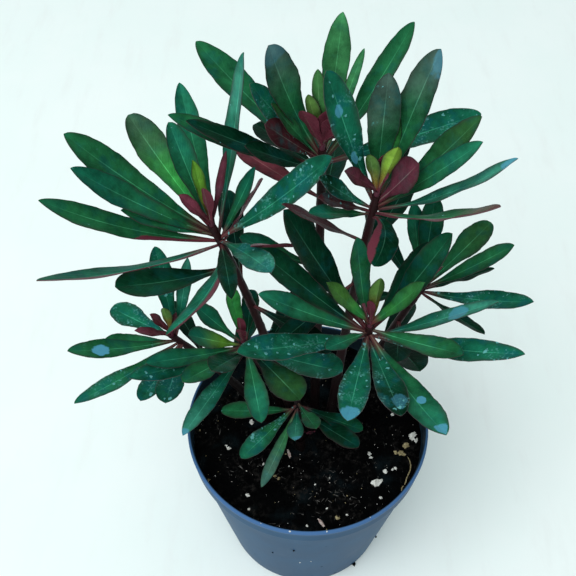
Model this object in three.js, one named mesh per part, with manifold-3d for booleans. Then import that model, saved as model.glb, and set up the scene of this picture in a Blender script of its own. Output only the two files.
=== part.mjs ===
// A potted wood spurge (Euphorbia amygdaloides, purple-leaved form): a round nursery pot of compost
// with eight leafy stems. Each stem stands in its own plain hole in the compost and carries a whorl of
// spoon-shaped leaves, and all but the smallest end in a crown of young, upright leaves.
// Millimetres, +Z up. The origin is the middle of the pot's flat underside. -Y is the front, and
// headings run from +X towards +Y.
import * as THREE from "three";
import { mergeVertices } from "three/addons/utils/BufferGeometryUtils.js";
import Module from "manifold-3d";

const wasm = await Module();
wasm.setup();

// ---- Driving dimensions -----------------------------------------------------------------------------

const POT_HEIGHT = 107; // to the top of the rim
const RIM_RADIUS = 65; // outside, a 13 cm pot
const BASE_RADIUS = 46.2;
const WALL = 1.3; // injection-moulded wall
const COLLAR_HEIGHT = 13; // the stiffer band under the rim
const COLLAR_STEP = 1.6; // how far that band stands out from the wall below it
const FLOOR_RAISE = 2.2; // the floor between foot ring and centre pad stands off the table
const FOOT_WIDTH = 6;
const PAD_RADIUS = 12;
const DRAIN_HOLES = 8;
const DRAIN_RADIUS = 3.6;
const DRAIN_CIRCLE = 28;

const CLEARANCE = 0.3; // between pieces that touch
const SOIL_TOP = 96; // mean level, about a centimetre under the rim
const SOIL_RELIEF = 1.3;
const STEM_DEPTH = 24; // how deep each stem stands in the compost
const STRAIGHT_FOOT = 9; // each stem leaves the compost upright, and so does its hole

const STEM_FOOT_RADIUS = 2.7;
const STEM_TOP_RADIUS = 1.9;
const STEM_SIDES = 8;
const STEM_STEPS = 9;
const LEAN_BEGINS = 0.12; // share of a stem's line that the upright foot takes up
const BEND_OUT = 0.35; // where a stem's bend lies between its foot and its top, sideways
const BEND_UP = 0.55; // and in height
const BUD_RADIUS = 1.2; // the core of each crown
const BUD_HEIGHT = 6;
const YOUNG_START = 1.6; // height of the lowest young leaf above the bud's foot
const YOUNG_SPACING = 0.6;
const WHORL_START = 2; // the topmost leaf's distance below the stem's top
const WHORL_SPACING = 0.7;
const LOWER_START = 26; // the same for the leaves on the bare stem under the whorl
const LOWER_SPACING = 14;

const LEAF_THICKNESS = 0.7;
const LEAF_FOLD = 12; // degrees that each half of a blade rises from the midrib
const LEAF_WALK = 24; // steps in which a bent leaf's midrib is laid out
// How far from the stem's middle a leaf starts, the width of its foot as a share of the blade's, and
// where its cross-sections lie along it. Young leaves sit on a broader foot.
const GROWN_LEAF = { root: 1.45, footShare: 0.12, stations: [0, 0.28, 0.5, 0.7, 0.88, 1] };
const YOUNG_LEAF = { root: 0.3, footShare: 0.3, stations: [0, 0.3, 0.6, 0.85, 1] };

const ROUND_SEGMENTS = 40;

// ---- The plant --------------------------------------------------------------------------------------
// foot is where a stem comes out of the compost, top where its crown sits. Each leaf is a row of
// [heading, rise above the horizontal, length, width, droop, roll, sweep]: droop is how far the blade
// has bent down at its tip (up, where negative), roll turns it about its own length, and sweep bends
// it sideways. whorl lists the leaves of the whorl from the top down, lower those on the bare stem
// under it, and young those of the crown from its foot up.
const STEMS = {
  left: {
    foot: [-8, 6],
    top: [-43, 9, 250],
    whorl: [
      [142, 39, 58, 16, -10],
      [133, 61, 50, 11.5, -4],
      [174, 35, 74, 14.5, -14, -16],
      [107, 32, 66, 11, -8],
      [196, 30, 44, 7.5, -10, -22],
      [189, 36, 70, 12, -12, -23],
      [58, 70, 82, 11, -6, -28],
      [351, 44, 70, 13.5, -10, 32],
      [25, 62, 38, 6.5, -4, 21],
      [303, 34, 46, 12, 16, 5],
      [191, 16, 78, 11, -26, -18],
      [12, 60, 38, 8, -4, -25],
      [279, 33, 50, 8, 20],
      [214, 7, 84, 12, -26, 26],
      [277, 19, 62, 9.5, 16, 30, -50],
    ],
    lower: [
      [211, 11, 56, 15, -18, -14],
      [100, 20, 50, 12, 10],
      [320, 10, 46, 12, 10],
    ],
    young: [
      [201, 60, 24, 6, 0, -41],
      [132, 71, 30, 6, -4],
      [31, 73, 36, 4, -6, 24],
      [233, 85, 20, 7, 0],
    ],
  },
  top: {
    foot: [4, 12],
    top: [3, 18, 285],
    whorl: [
      [184, 64, 56, 14.5, -12, -49],
      [186, 51, 46, 10, -8, -39],
      [200, 57, 38, 6, -4, -41],
      [203, 46, 34, 11, -4, -42],
      [68, 71, 60, 11, -8],
      [69, 18, 54, 5, -6],
      [38, 41, 64, 11.5, -14],
      [140, 16, 72, 14, -14, -6],
      [22, 1, 72, 14.5, -4, 13],
      [191, 26, 68, 9.5, -12, -26],
      [195, 31, 63, 8.5, -8, -28],
      [201, 32, 38, 8.5, -8, -30],
      [100, -22, 36, 11, -8],
      [130, -8, 42, 12, -8],
    ],
    lower: [
      [141, -1, 46, 10.5, -8, -8],
      [80, 5, 52, 13, 10],
      [225, 38, 50, 8, 0, 30],
      [188, 33, 42, 10.5, -6, -20],
      [100, 0, 48, 12, 0],
    ],
    young: [
      [213, 67, 24, 8.5, 0, 30],
      [205, 77, 28, 6.5, 0, 43],
      [288, 76, 22, 7.5, 0],
      [298, 66, 22, 8.5, -2],
      [305, 52, 14, 6, 0, -52],
      [218, 84, 36, 7, -2, 22],
    ],
  },
  right: {
    foot: [12, 4],
    top: [25, 5, 272],
    whorl: [
      [162, 68, 62, 13.5, -4, -33],
      [333, 60, 30, 14, -4, 49],
      [55, 74, 40, 8, -4],
      [29, 76, 70, 14.5, 6, 12],
      [81, 78, 58, 13, -6],
      [339, 48, 58, 9.5, -8, 36],
      [201, 43, 34, 7.5, -8, -40],
      [352, 52, 62, 11.5, -10, 32],
      [341, 26, 66, 8.5, -30],
      [205, 37, 30, 6.5, 0, -19],
      [329, 14, 58, 11, -34, -18],
      [208, 27, 32, 7.5, 0, -10],
      [70, 5, 46, 12, -8],
      [297, 41, 36, 12, 60, 0, -60],
    ],
    lower: [
      [203, 42, 52, 6.5, -6, -8],
      [60, 10, 48, 12, 0],
      [214, -18, 44, 11, 4, -12],
    ],
    young: [
      [228, 86, 16, 9.5, 0, 5],
      [222, 76, 24, 6.5, 0, 22],
      [215, 51, 26, 7, 4, -50],
      [314, 74, 28, 7.5, -2, -35],
      [300, 84, 20, 6, 0],
    ],
  },
  front: {
    foot: [24, 2],
    top: [25, -18, 215],
    whorl: [
      [320, 23, 48, 11, -6, 11],
      [11, 58, 62, 13, -10, 17],
      [160, 54, 72, 15, -8, -18],
      [121, 72, 48, 10, -4],
      [225, 31, 30, 8, 6, -6],
      [185, 30, 56, 11, -8, -15],
      [292, 3, 68, 14, -24],
      [166, 37, 66, 14, -8, -13],
      [257, 19, 54, 13, 10],
      [328, 20, 74, 11, -16, 13],
      [204, 17, 64, 13.5, -6, -8],
      [55, 10, 54, 11.5, -8],
      [345, 36, 64, 8.5, -8],
      [280, 21, 54, 13, 4],
    ],
    lower: [],
    young: [
      [176, 74, 14, 5, 0],
      [336, 59, 42, 8.5, -6, 39],
      [183, 53, 34, 8, -4, -29],
      [335, 87, 30, 7, 0, -46],
      [240, 83, 16, 4.5, 0],
    ],
  },
  low_left: {
    foot: [-22, 8],
    top: [-69, 14, 165],
    whorl: [
      [60, 67, 46, 7, -4, 30],
      [155, 5, 36, 14, -6],
      [110, 62, 50, 11, -4],
      [205, 15, 56, 10.5, -16, -10],
      [188, 5, 36, 10.5, -6, -6],
      [224, 2, 62, 9.5, -16],
      [249, 6, 42, 11, -10],
      [265, 9, 42, 13.5, -10],
    ],
    lower: [
      [120, 5, 44, 11, 10],
      [70, 10, 44, 11, 10],
    ],
    young: [
      [224, 45, 28, 5, -4, -28],
      [5, 77, 16, 3.5, 0, 49],
      [201, 66, 20, 5, 0, -38],
      [221, 87, 20, 6, 0, 33],
    ],
  },
  middle_left: {
    foot: [-15, 16],
    top: [-32, -1, 180],
    whorl: [
      [167, 44, 31, 10, -6, -9],
      [208, 40, 36, 11, -8, -22],
      [85, 12, 28, 9, -6],
      [280, 13, 48, 11, 6],
      [226, 14, 40, 11.5, -6],
      [204, 13, 50, 10.5, -8, -7],
      [328, 17, 54, 16.5, -8, 6],
      [239, -2, 60, 9.5, -22, 0, 10],
      [208, 11, 60, 11.5, -8, -6],
      [239, 33, 34, 13, 0, -8],
      [305, 17, 42, 17.5, 10],
    ],
    lower: [
      [58, 24, 42, 11, 10],
    ],
    young: [
      [260, 74, 14, 5, 0],
      [139, 78, 36, 8, -2, -6],
      [244, 86, 18, 5, 0],
    ],
  },
  back_right: {
    foot: [22, 14],
    top: [58, 32, 185],
    whorl: [
      [115, 64, 44, 10, -4],
      [351, 41, 52, 10, -10, 19],
      [40, 14, 48, 14, -10],
      [81, 68, 50, 12, -6],
      [5, 17, 36, 7, -8, -20],
      [327, 20, 60, 10.5, -16, 17],
      [312, 4, 40, 8, -8, -15],
      [120, 15, 50, 12, -8],
      [190, 5, 46, 12, -6],
    ],
    lower: [
      [262, 30, 36, 14, 20],
      [290, 40, 40, 16.5, 20],
      [60, 0, 46, 12, 10],
    ],
    young: [
      [300, 66, 20, 6, 0],
      [180, 74, 18, 5, 0],
      [30, 80, 20, 5, 0],
    ],
  },
  low_front: {
    foot: [-4, -10],
    top: [-6, 2, 126],
    whorl: [
      [292, 23, 26, 9.5, -6],
      [110, 64, 22, 7, -6],
      [229, -2, 42, 11, -8],
      [333, 2, 36, 10.5, -6],
      [266, 19, 26, 9, -4],
      [243, -29, 44, 7, -10],
      [318, 8, 40, 11.5, -6],
      [183, 0, 39, 10.5, -6],
    ],
    lower: [],
    young: [],
  },
};

// ---- Building blocks --------------------------------------------------------------------------------

const radians = THREE.MathUtils.degToRad;

// A closed body through rings of points that correspond one to one, with a flat fan over each end.
// Quads are all split along the same diagonal, so that both faces of a thin blade bend alike.
function skin(rings) {
  const positions = rings.flat().flatMap((p) => [p.x, p.y, p.z]);
  const sides = rings[0].length;
  const index = [];
  for (let r = 0; r < rings.length - 1; r++)
    for (let s = 0; s < sides; s++) {
      const a = r * sides + s;
      const b = r * sides + ((s + 1) % sides);
      index.push(a, b, b + sides, a, b + sides, a + sides);
    }
  const last = (rings.length - 1) * sides;
  for (let s = 1; s < sides - 1; s++) {
    index.push(0, s + 1, s);
    index.push(last, last + s, last + s + 1);
  }
  const geometry = new THREE.BufferGeometry();
  geometry.setAttribute("position", new THREE.Float32BufferAttribute(positions, 3));
  return geometry.setIndex(index);
}

// A geometry as a solid that can be cut and fused.
function solidOf(geometry) {
  const bare = geometry.clone();
  bare.deleteAttribute("normal");
  bare.deleteAttribute("uv");
  const merged = mergeVertices(bare, 1e-4);
  return new wasm.Manifold(
    new wasm.Mesh({
      numProp: 3,
      vertProperties: new Float32Array(merged.attributes.position.array),
      triVerts: new Uint32Array(merged.index.array),
    }),
  );
}

// The largest body of a solid as a geometry: fusing can leave a loose scrap or seal a small hollow.
function geometryOf(solid) {
  const bodies = solid.decompose().sort((a, b) => b.volume() - a.volume());
  const mesh = bodies[0].getMesh();
  const geometry = new THREE.BufferGeometry();
  const positions = new Float32Array(mesh.numVert * 3);
  for (let i = 0; i < mesh.numVert; i++)
    positions.set(mesh.vertProperties.subarray(i * mesh.numProp, i * mesh.numProp + 3), i * 3);
  geometry.setAttribute("position", new THREE.BufferAttribute(positions, 3));
  geometry.setIndex(new THREE.BufferAttribute(new Uint32Array(mesh.triVerts), 1));
  return geometry;
}

// A lathe about +Z from [radius, height] pairs.
function turned(profile, segments = ROUND_SEGMENTS) {
  const points = profile.map(([r, z]) => new THREE.Vector2(r, z));
  return new THREE.LatheGeometry(points, segments).rotateX(Math.PI / 2);
}

// An upright cylinder at (x, y) between two heights.
function cylinderAt(x, y, bottom, top, radius, sides) {
  const cylinder = new THREE.CylinderGeometry(radius, radius, top - bottom, sides);
  return cylinder.rotateX(Math.PI / 2).translate(x, y, (top + bottom) / 2);
}

// ---- Pot --------------------------------------------------------------------------------------------

const collarBottom = POT_HEIGHT - COLLAR_HEIGHT;
const collarRadius = RIM_RADIUS - 1.2;
const wallTopRadius = collarRadius - COLLAR_STEP;
const floorTop = FLOOR_RAISE + WALL;

// The inside radius of the tapered wall at a height below the collar.
function wallInside(z) {
  const share = z / collarBottom;
  return BASE_RADIUS + (wallTopRadius - BASE_RADIUS) * share - WALL;
}

function potGeometry() {
  const profile = [
    [0, 0],
    [PAD_RADIUS, 0],
    [PAD_RADIUS + 1.5, FLOOR_RAISE],
    [BASE_RADIUS - FOOT_WIDTH - 1.5, FLOOR_RAISE],
    [BASE_RADIUS - FOOT_WIDTH, 0],
    [BASE_RADIUS - 0.8, 0],
    [BASE_RADIUS, 0.8],
    [wallTopRadius, collarBottom],
    [collarRadius, collarBottom + 1.2],
    [collarRadius + 0.5, POT_HEIGHT - 3],
    [RIM_RADIUS, POT_HEIGHT - 2.2],
    [RIM_RADIUS - 0.3, POT_HEIGHT],
    [RIM_RADIUS - 1.7, POT_HEIGHT],
    [collarRadius - WALL, collarBottom + 2],
    [wallInside(collarBottom), collarBottom],
    [wallInside(floorTop), floorTop],
    [0, floorTop],
  ];
  let pot = solidOf(turned(profile));
  for (let i = 0; i < DRAIN_HOLES; i++) {
    const turn = ((i + 0.5) / DRAIN_HOLES) * 2 * Math.PI;
    const x = DRAIN_CIRCLE * Math.cos(turn);
    const y = DRAIN_CIRCLE * Math.sin(turn);
    pot = pot.subtract(solidOf(cylinderAt(x, y, -1, floorTop + 1, DRAIN_RADIUS, 8)));
  }
  return geometryOf(pot);
}

// ---- Compost ----------------------------------------------------------------------------------------

// The height of the compost above its mean level: low mounds, dying out at the pot's wall.
function relief(x, y) {
  const fade = 1 - Math.min(1, Math.hypot(x, y) / collarRadius) ** 6;
  const mounds = Math.sin(x * 0.17 + 1.3) * Math.cos(y * 0.21) + 0.6 * Math.sin(x * 0.39 - y * 0.33);
  return SOIL_RELIEF * fade * mounds;
}

function soilGeometry() {
  const bottom = floorTop + CLEARANCE;
  const side = collarBottom - 0.5;
  const topRadius = collarRadius - WALL - CLEARANCE - 0.1;
  const profile = [
    [0, bottom],
    [wallInside(bottom) - CLEARANCE - 0.1, bottom],
    [wallInside(side) - CLEARANCE - 0.1, side],
    [topRadius, collarBottom + 2],
    [topRadius, SOIL_TOP + 0.2],
    [topRadius * 0.84, SOIL_TOP],
    [topRadius * 0.66, SOIL_TOP],
    [topRadius * 0.48, SOIL_TOP],
    [topRadius * 0.3, SOIL_TOP],
    [topRadius * 0.12, SOIL_TOP],
    [0, SOIL_TOP],
  ];
  const geometry = turned(profile, ROUND_SEGMENTS / 2);
  const position = geometry.attributes.position;
  for (let i = 0; i < position.count; i++)
    if (Math.abs(position.getZ(i) - SOIL_TOP) < 0.1)
      position.setZ(i, SOIL_TOP + relief(position.getX(i), position.getY(i)));
  let soil = solidOf(geometry);
  for (const stem of Object.values(STEMS)) {
    const [x, y] = stem.foot;
    const bore = STEM_FOOT_RADIUS + CLEARANCE;
    const hole = cylinderAt(x, y, SOIL_TOP - STEM_DEPTH, SOIL_TOP + STRAIGHT_FOOT, bore, STEM_SIDES);
    soil = soil.subtract(solidOf(hole));
  }
  return geometryOf(soil);
}

// ---- Stems and leaves -------------------------------------------------------------------------------

// A stem's line: straight up out of the compost, then leaning over to its top.
function stemLine({ foot: [x, y], top: [tx, ty, tz] }) {
  const foot = new THREE.Vector3(x, y, SOIL_TOP);
  const top = new THREE.Vector3(tx, ty, tz);
  const bend = foot.clone().lerp(top, BEND_OUT);
  bend.z = foot.z + (top.z - foot.z) * BEND_UP;
  return new THREE.QuadraticBezierCurve3(foot, bend, top);
}

// The stem itself: eight-sided, upright from the bottom of its hole to its foot's top, then tapering
// along its line.
function stemGeometry(stem) {
  const line = stemLine(stem);
  const foot = line.getPoint(0);
  const rings = [];
  const ringAt = (centre, radius) => {
    const ring = [];
    for (let s = 0; s < STEM_SIDES; s++) {
      const turn = ((s + 0.5) / STEM_SIDES) * 2 * Math.PI;
      ring.push(new THREE.Vector3(radius * Math.cos(turn), radius * Math.sin(turn), 0).add(centre));
    }
    rings.push(ring);
  };
  ringAt(foot.clone().setZ(SOIL_TOP - STEM_DEPTH + CLEARANCE), STEM_FOOT_RADIUS);
  ringAt(foot.clone().setZ(SOIL_TOP + STRAIGHT_FOOT), STEM_FOOT_RADIUS);
  for (let i = 1; i <= STEM_STEPS; i++) {
    const share = LEAN_BEGINS + ((1 - LEAN_BEGINS) * i) / STEM_STEPS;
    const radius = THREE.MathUtils.lerp(STEM_FOOT_RADIUS, STEM_TOP_RADIUS, share);
    ringAt(line.getPoint(share), radius);
  }
  return skin(rings);
}

// The blade's half-width along its length, as a share of the widest: a narrow foot, widest past the
// middle, with a blunter tip on broad leaves. slimness is the leaf's width over its length.
function outline(along, slimness, footShare) {
  const belly = THREE.MathUtils.clamp(1.9 + (slimness - 0.2) * 4, 1.7, 2.4);
  const blade = Math.sin(Math.PI * along ** belly) ** 0.75;
  const foot = 1 - along ** 8;
  return footShare * foot + (1 - footShare) * blade;
}

// One leaf from just inside the stem's side, its foot a distance below the line's end: cross-sections
// of six points, folded up a little from the midrib.
function leafGeometry(line, below, row, { root, footShare, stations }) {
  const [heading, rise, length, width, droop, roll = 0, sweep = 0] = row;
  const direction = (share) => {
    const turn = radians(heading + sweep * share);
    const lift = radians(rise - droop * share);
    const flat = Math.cos(lift);
    return new THREE.Vector3(flat * Math.cos(turn), flat * Math.sin(turn), Math.sin(lift));
  };
  const centre = line.getPointAt(1 - below / line.getLength());
  centre.addScaledVector(direction(0).setZ(0).normalize(), root);
  const rings = [];
  let walked = 0;
  for (const station of stations) {
    for (; walked < Math.round(station * LEAF_WALK); walked++)
      centre.addScaledVector(direction((walked + 0.5) / LEAF_WALK), length / LEAF_WALK);
    const along = direction(station);
    const across = new THREE.Vector3(-along.y, along.x, 0).normalize();
    across.applyAxisAngle(along, radians(roll));
    const up = new THREE.Vector3().crossVectors(along, across);
    const half = (width / 2) * Math.max(outline(station, width / length, footShare), 0.1);
    const edge = half * Math.cos(radians(LEAF_FOLD));
    const lift = half * Math.sin(radians(LEAF_FOLD));
    const point = (side, face) => {
      const height = Math.abs(side) * lift + (face * LEAF_THICKNESS) / 2;
      return centre.clone().addScaledVector(across, side * edge).addScaledVector(up, height);
    };
    rings.push([point(-1, 1), point(-1, -1), point(0, -1), point(1, -1), point(1, 1), point(0, 1)]);
  }
  return skin(rings);
}

// A stem with the leaves of its whorl and those lower down.
function stemParts(stem) {
  const line = stemLine(stem);
  const whorl = stem.whorl.map((row, i) => {
    const below = WHORL_START + WHORL_SPACING * i;
    return leafGeometry(line, below, row, GROWN_LEAF);
  });
  const lower = stem.lower.map((row, i) => {
    const below = LOWER_START + LOWER_SPACING * i;
    return leafGeometry(line, below, row, GROWN_LEAF);
  });
  return [stemGeometry(stem), ...whorl, ...lower];
}

// The crown on a stem's end: young upright leaves round a bud. They stand just clear of the stem.
function crownParts(stem) {
  const foot = stemLine(stem).getPoint(1);
  foot.z += CLEARANCE;
  const tip = foot.clone().setZ(foot.z + BUD_HEIGHT);
  const bud = new THREE.CylinderGeometry(BUD_RADIUS / 3, BUD_RADIUS, BUD_HEIGHT, 6);
  bud.rotateX(Math.PI / 2).translate(foot.x, foot.y, foot.z + BUD_HEIGHT / 2);
  const line = new THREE.LineCurve3(foot, tip);
  const leaves = stem.young.map((row, i) => {
    const below = BUD_HEIGHT - YOUNG_START - YOUNG_SPACING * i;
    return leafGeometry(line, below, row, YOUNG_LEAF);
  });
  return [bud, ...leaves];
}

// Several closed geometries as one body.
function fused(parts) {
  let solid = solidOf(parts[0]);
  for (const part of parts.slice(1)) solid = solid.add(solidOf(part));
  return geometryOf(solid);
}

// ---- Assembly ---------------------------------------------------------------------------------------

const potPlastic = new THREE.MeshStandardMaterial({ color: 0x4c6079, roughness: 0.45, metalness: 0 });
const compost = new THREE.MeshStandardMaterial({ color: 0x14100d, roughness: 0.95, metalness: 0 });
const leafGreen = new THREE.MeshStandardMaterial({ color: 0x1b5a3c, roughness: 0.5, metalness: 0 });
const youngRed = new THREE.MeshStandardMaterial({ color: 0x6b2338, roughness: 0.5, metalness: 0 });

const plant = new THREE.Group();

function place(name, geometry, material) {
  const mesh = new THREE.Mesh(geometry, material);
  mesh.name = name;
  plant.add(mesh);
}

place("pot", potGeometry(), potPlastic);
place("soil", soilGeometry(), compost);
for (const [name, stem] of Object.entries(STEMS)) {
  place(`stem_${name}`, fused(stemParts(stem)), leafGreen);
  if (stem.young.length) place(`crown_${name}`, fused(crownParts(stem)), youngRed);
}

export default plant;
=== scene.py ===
import math
import random

import bpy
import numpy as np
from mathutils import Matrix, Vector, noise
from mathutils.bvhtree import BVHTree


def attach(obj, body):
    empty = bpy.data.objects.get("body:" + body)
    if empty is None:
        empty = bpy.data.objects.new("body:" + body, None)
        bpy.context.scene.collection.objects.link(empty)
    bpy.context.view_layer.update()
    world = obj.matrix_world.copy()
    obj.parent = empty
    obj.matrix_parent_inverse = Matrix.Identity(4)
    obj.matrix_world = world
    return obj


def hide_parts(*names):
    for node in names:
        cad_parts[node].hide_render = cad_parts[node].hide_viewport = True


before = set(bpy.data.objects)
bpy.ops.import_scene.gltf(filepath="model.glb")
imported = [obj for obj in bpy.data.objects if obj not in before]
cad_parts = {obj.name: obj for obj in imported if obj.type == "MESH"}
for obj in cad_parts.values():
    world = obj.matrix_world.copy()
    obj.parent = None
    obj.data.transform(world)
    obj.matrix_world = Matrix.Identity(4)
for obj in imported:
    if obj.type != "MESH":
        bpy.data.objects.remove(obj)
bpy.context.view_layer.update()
MM = 0.001

# ---- Nursery pot --------------------------------------------------------------------------------
# An injection-moulded pot of slate-blue polypropylene: a thin tapered wall under a stiffer collar
# with a rolled lip, and a floor on a foot ring and a centre pad. It is turned from one circle,
# extruded ring by ring along its section, and its drain holes are then cut.

POT_TURNS = 128
POT_SECTION = [  # radius and height in mm, from the underside's centre round to the floor's
    (1, 0), (6, 0), (11.7, 0), (12.3, 0.3), (13.2, 1.9), (13.8, 2.2), (26, 2.2), (38.2, 2.2),
    (38.9, 1.9), (39.8, 0.3), (40.4, 0), (44.8, 0), (45.6, 0.15), (46.1, 0.6), (46.6, 2.6),
    (48.2, 12), (51.2, 29), (54.2, 46.5), (57.2, 64), (60.2, 81.5), (61.9, 91.8), (62.3, 93.6),
    (62.8, 94.2), (63.5, 94.7), (63.8, 95.3), (63.95, 97), (64.2, 101), (64.35, 103.6),
    (64.55, 104.2), (64.85, 104.7), (65, 105.3), (64.97, 106), (64.75, 106.6), (64.4, 106.9),
    (64, 107), (63.6, 106.9), (63.3, 106.6), (63.1, 106), (62.95, 104.5), (62.7, 100),
    (62.5, 96.4), (62.1, 95.6), (61.4, 94.8), (60.9, 93.6), (57.6, 74), (53.1, 47.5),
    (48.6, 21), (45.9, 5), (45.2, 3.9), (44.4, 3.5), (24, 3.5), (1, 3.5),
]
DRAIN_HOLES = 8
DRAIN_RADIUS = 3.6
DRAIN_CIRCLE = 28
DRILL_LENGTH = 8
DRILL_MIDDLE = 3


def lofted(name, stations, sides):
    """A closed round body through stations of (x, y, z, radius) in millimetres."""
    x, y, z, radius = stations[0]
    bpy.ops.object.select_all(action="DESELECT")
    bpy.ops.mesh.primitive_circle_add(
        vertices=sides, radius=radius * MM, location=(x * MM, y * MM, z * MM)
    )
    bpy.ops.object.transform_apply(location=True, rotation=False, scale=False)
    piece = bpy.context.object
    piece.name = name
    bpy.ops.object.mode_set(mode="EDIT")
    bpy.ops.mesh.select_all(action="SELECT")
    bpy.ops.mesh.edge_face_add()
    for (px, py, pz, before), (x, y, z, radius) in zip(stations, stations[1:]):
        bpy.ops.mesh.extrude_edges_move(
            TRANSFORM_OT_translate={"value": ((x - px) * MM, (y - py) * MM, (z - pz) * MM)}
        )
        bpy.ops.transform.resize(
            value=(radius / before, radius / before, 1), center_override=(x * MM, y * MM, z * MM)
        )
    bpy.ops.mesh.edge_face_add()
    bpy.ops.mesh.select_all(action="SELECT")
    bpy.ops.mesh.normals_make_consistent(inside=False)
    bpy.ops.object.mode_set(mode="OBJECT")
    return piece


def picked(pieces):
    """Selects these pieces and no others, and makes the first of them the active one."""
    bpy.ops.object.select_all(action="DESELECT")
    for piece in pieces:
        piece.select_set(True)
    bpy.context.view_layer.objects.active = pieces[0]


def smoothed(piece, degrees):
    """Smooth shading, with an edge left wherever faces meet at more than this angle."""
    picked([piece])
    bpy.ops.object.shade_smooth_by_angle(angle=math.radians(degrees))


pot = lofted("nursery_pot", [(0, 0, z, radius) for radius, z in POT_SECTION], sides=POT_TURNS)

bpy.ops.object.select_all(action="DESELECT")
drills = []
circle = DRAIN_CIRCLE * MM
for hole in range(DRAIN_HOLES):
    turn = (hole + 0.5) / DRAIN_HOLES * math.tau
    bpy.ops.mesh.primitive_cylinder_add(
        vertices=24,
        radius=DRAIN_RADIUS * MM,
        depth=DRILL_LENGTH * MM,
        location=(circle * math.cos(turn), circle * math.sin(turn), DRILL_MIDDLE * MM),
    )
    drills.append(bpy.context.object)
picked(drills)
bpy.ops.object.join()
drill = bpy.context.object
picked([pot])
cut = pot.modifiers.new("drain holes", "BOOLEAN")
cut.operation = "DIFFERENCE"
cut.solver = "EXACT"
cut.object = drill
bpy.ops.object.modifier_apply(modifier=cut.name)
bpy.data.objects.remove(drill)
smoothed(pot, degrees=50)


def put(tree, kind, inputs=None, **settings):
    """Adds a shader node. Each input, by name or number, takes a value or a node's output."""
    node = tree.nodes.new(kind)
    for name, value in settings.items():
        setattr(node, name, value)
    for name, value in (inputs or {}).items():
        if isinstance(value, bpy.types.NodeSocket):
            tree.links.new(value, node.inputs[name])
        else:
            node.inputs[name].default_value = value
    return node


def maths(tree, operation, *values):
    """The result of one step of arithmetic."""
    return put(tree, "ShaderNodeMath", dict(enumerate(values)), operation=operation).outputs[0]


def times(tree, first, second):
    """The product of two numbers."""
    return maths(tree, "MULTIPLY", first, second)


def ramp(tree, value, low, high, start=0.0, end=1.0):
    """A smooth step from start, where the value is low, to end, where it is high."""
    inputs = {"Value": value, "From Min": low, "From Max": high, "To Min": start, "To Max": end}
    step = put(tree, "ShaderNodeMapRange", inputs, interpolation_type="SMOOTHSTEP")
    return step.outputs["Result"]


def tinted(tree, factor, first, second, blend="MIX"):
    """One colour laid over another by a factor."""
    inputs = {0: factor, 6: first, 7: second}
    return put(tree, "ShaderNodeMix", inputs, data_type="RGBA", blend_type=blend).outputs[2]


def grains(tree, place, scale, detail=3.0, roughness=0.55, distortion=0.0):
    """Noise of about 1/scale metres, from 0 to 1."""
    inputs = {
        "Vector": place,
        "Scale": scale,
        "Detail": detail,
        "Roughness": roughness,
        "Distortion": distortion,
    }
    return put(tree, "ShaderNodeTexNoise", inputs).outputs[0]


def pebbled(tree, place, scale):
    """The distance to the nearest of many points strewn about 1/scale metres apart."""
    return put(tree, "ShaderNodeTexVoronoi", {"Vector": place, "Scale": scale}).outputs["Distance"]


def drawn_out(tree, place, scale, turn=0.0):
    """The place, scaled along each axis and then turned, so that a pattern on it is drawn out."""
    inputs = {"Vector": place, "Rotation": (0, 0, turn), "Scale": scale}
    return put(tree, "ShaderNodeMapping", inputs).outputs[0]


def new_material(name, roughness, specular):
    """A material, its node tree, its Principled BSDF and the place on the object in metres."""
    material = bpy.data.materials.new(name)
    material.use_nodes = True
    tree = material.node_tree
    shader = tree.nodes["Principled BSDF"]
    shader.inputs["Roughness"].default_value = roughness
    shader.inputs["Specular IOR Level"].default_value = specular
    place = put(tree, "ShaderNodeTexCoord").outputs["Object"]
    return material, tree, shader, place


def bumped(tree, shader, height, distance, strength=1.0):
    """Relief of this many metres on a shader's surface."""
    inputs = {"Height": height, "Distance": distance, "Strength": strength}
    bump = put(tree, "ShaderNodeBump", inputs)
    tree.links.new(bump.outputs["Normal"], shader.inputs["Normal"])


POT_BLUE = (0.020, 0.062, 0.130, 1)
POT_BLUE_WORN = (0.038, 0.092, 0.172, 1)
POT_SPECULAR_TINT = (0.28, 0.65, 1.0, 1)
POT_LIP_HIGHLIGHT = (0.070, 0.155, 0.34, 1)
POT_SCUFF = (0.12, 0.19, 0.27, 1)
POT_INSIDE_SHADE = (0.010, 0.017, 0.020, 1)
SPLASHED_SOIL = (0.03, 0.028, 0.025, 1)

# Heights and radii in metres that tell the lip, the outer wall, the inside and the floor apart.
LIP_HEIGHTS = (0.1036, 0.1046)
COLLAR_FOOT = (0.093, 0.094)
COLLAR_INSIDE = (0.0633, 0.0629)
FLOOR_TOP = (0.0032, 0.0036)
WALL_TAPER = 0.168
WALL_FOOT = 0.0456

pot_plastic, tree, shader, place = new_material("pot plastic", roughness=0.42, specular=0.05)
shader.inputs["Specular Tint"].default_value = POT_SPECULAR_TINT
axes = put(tree, "ShaderNodeSeparateXYZ", {0: place})
height = axes.outputs["Z"]
radius = put(tree, "ShaderNodeVectorMath", {0: place, 1: (1, 1, 0)}, operation="MULTIPLY")
radius = put(tree, "ShaderNodeVectorMath", {0: radius.outputs[0]}, operation="LENGTH").outputs[1]
clouds = grains(tree, place, 38, 4)
flow = drawn_out(tree, place, (1, 1, 0.12))
streaks = grains(tree, flow, 420, 3)
scuffs = ramp(tree, grains(tree, flow, 160, 6, 0.7), 0.6, 0.74)
specks = ramp(tree, pebbled(tree, place, 95), 0.10, 0.04)
specks = times(tree, specks, ramp(tree, grains(tree, place, 60), 0.52, 0.6))
lip = ramp(tree, height, *LIP_HEIGHTS)
wall_radius = maths(tree, "MULTIPLY_ADD", height, WALL_TAPER, WALL_FOOT)
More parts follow.
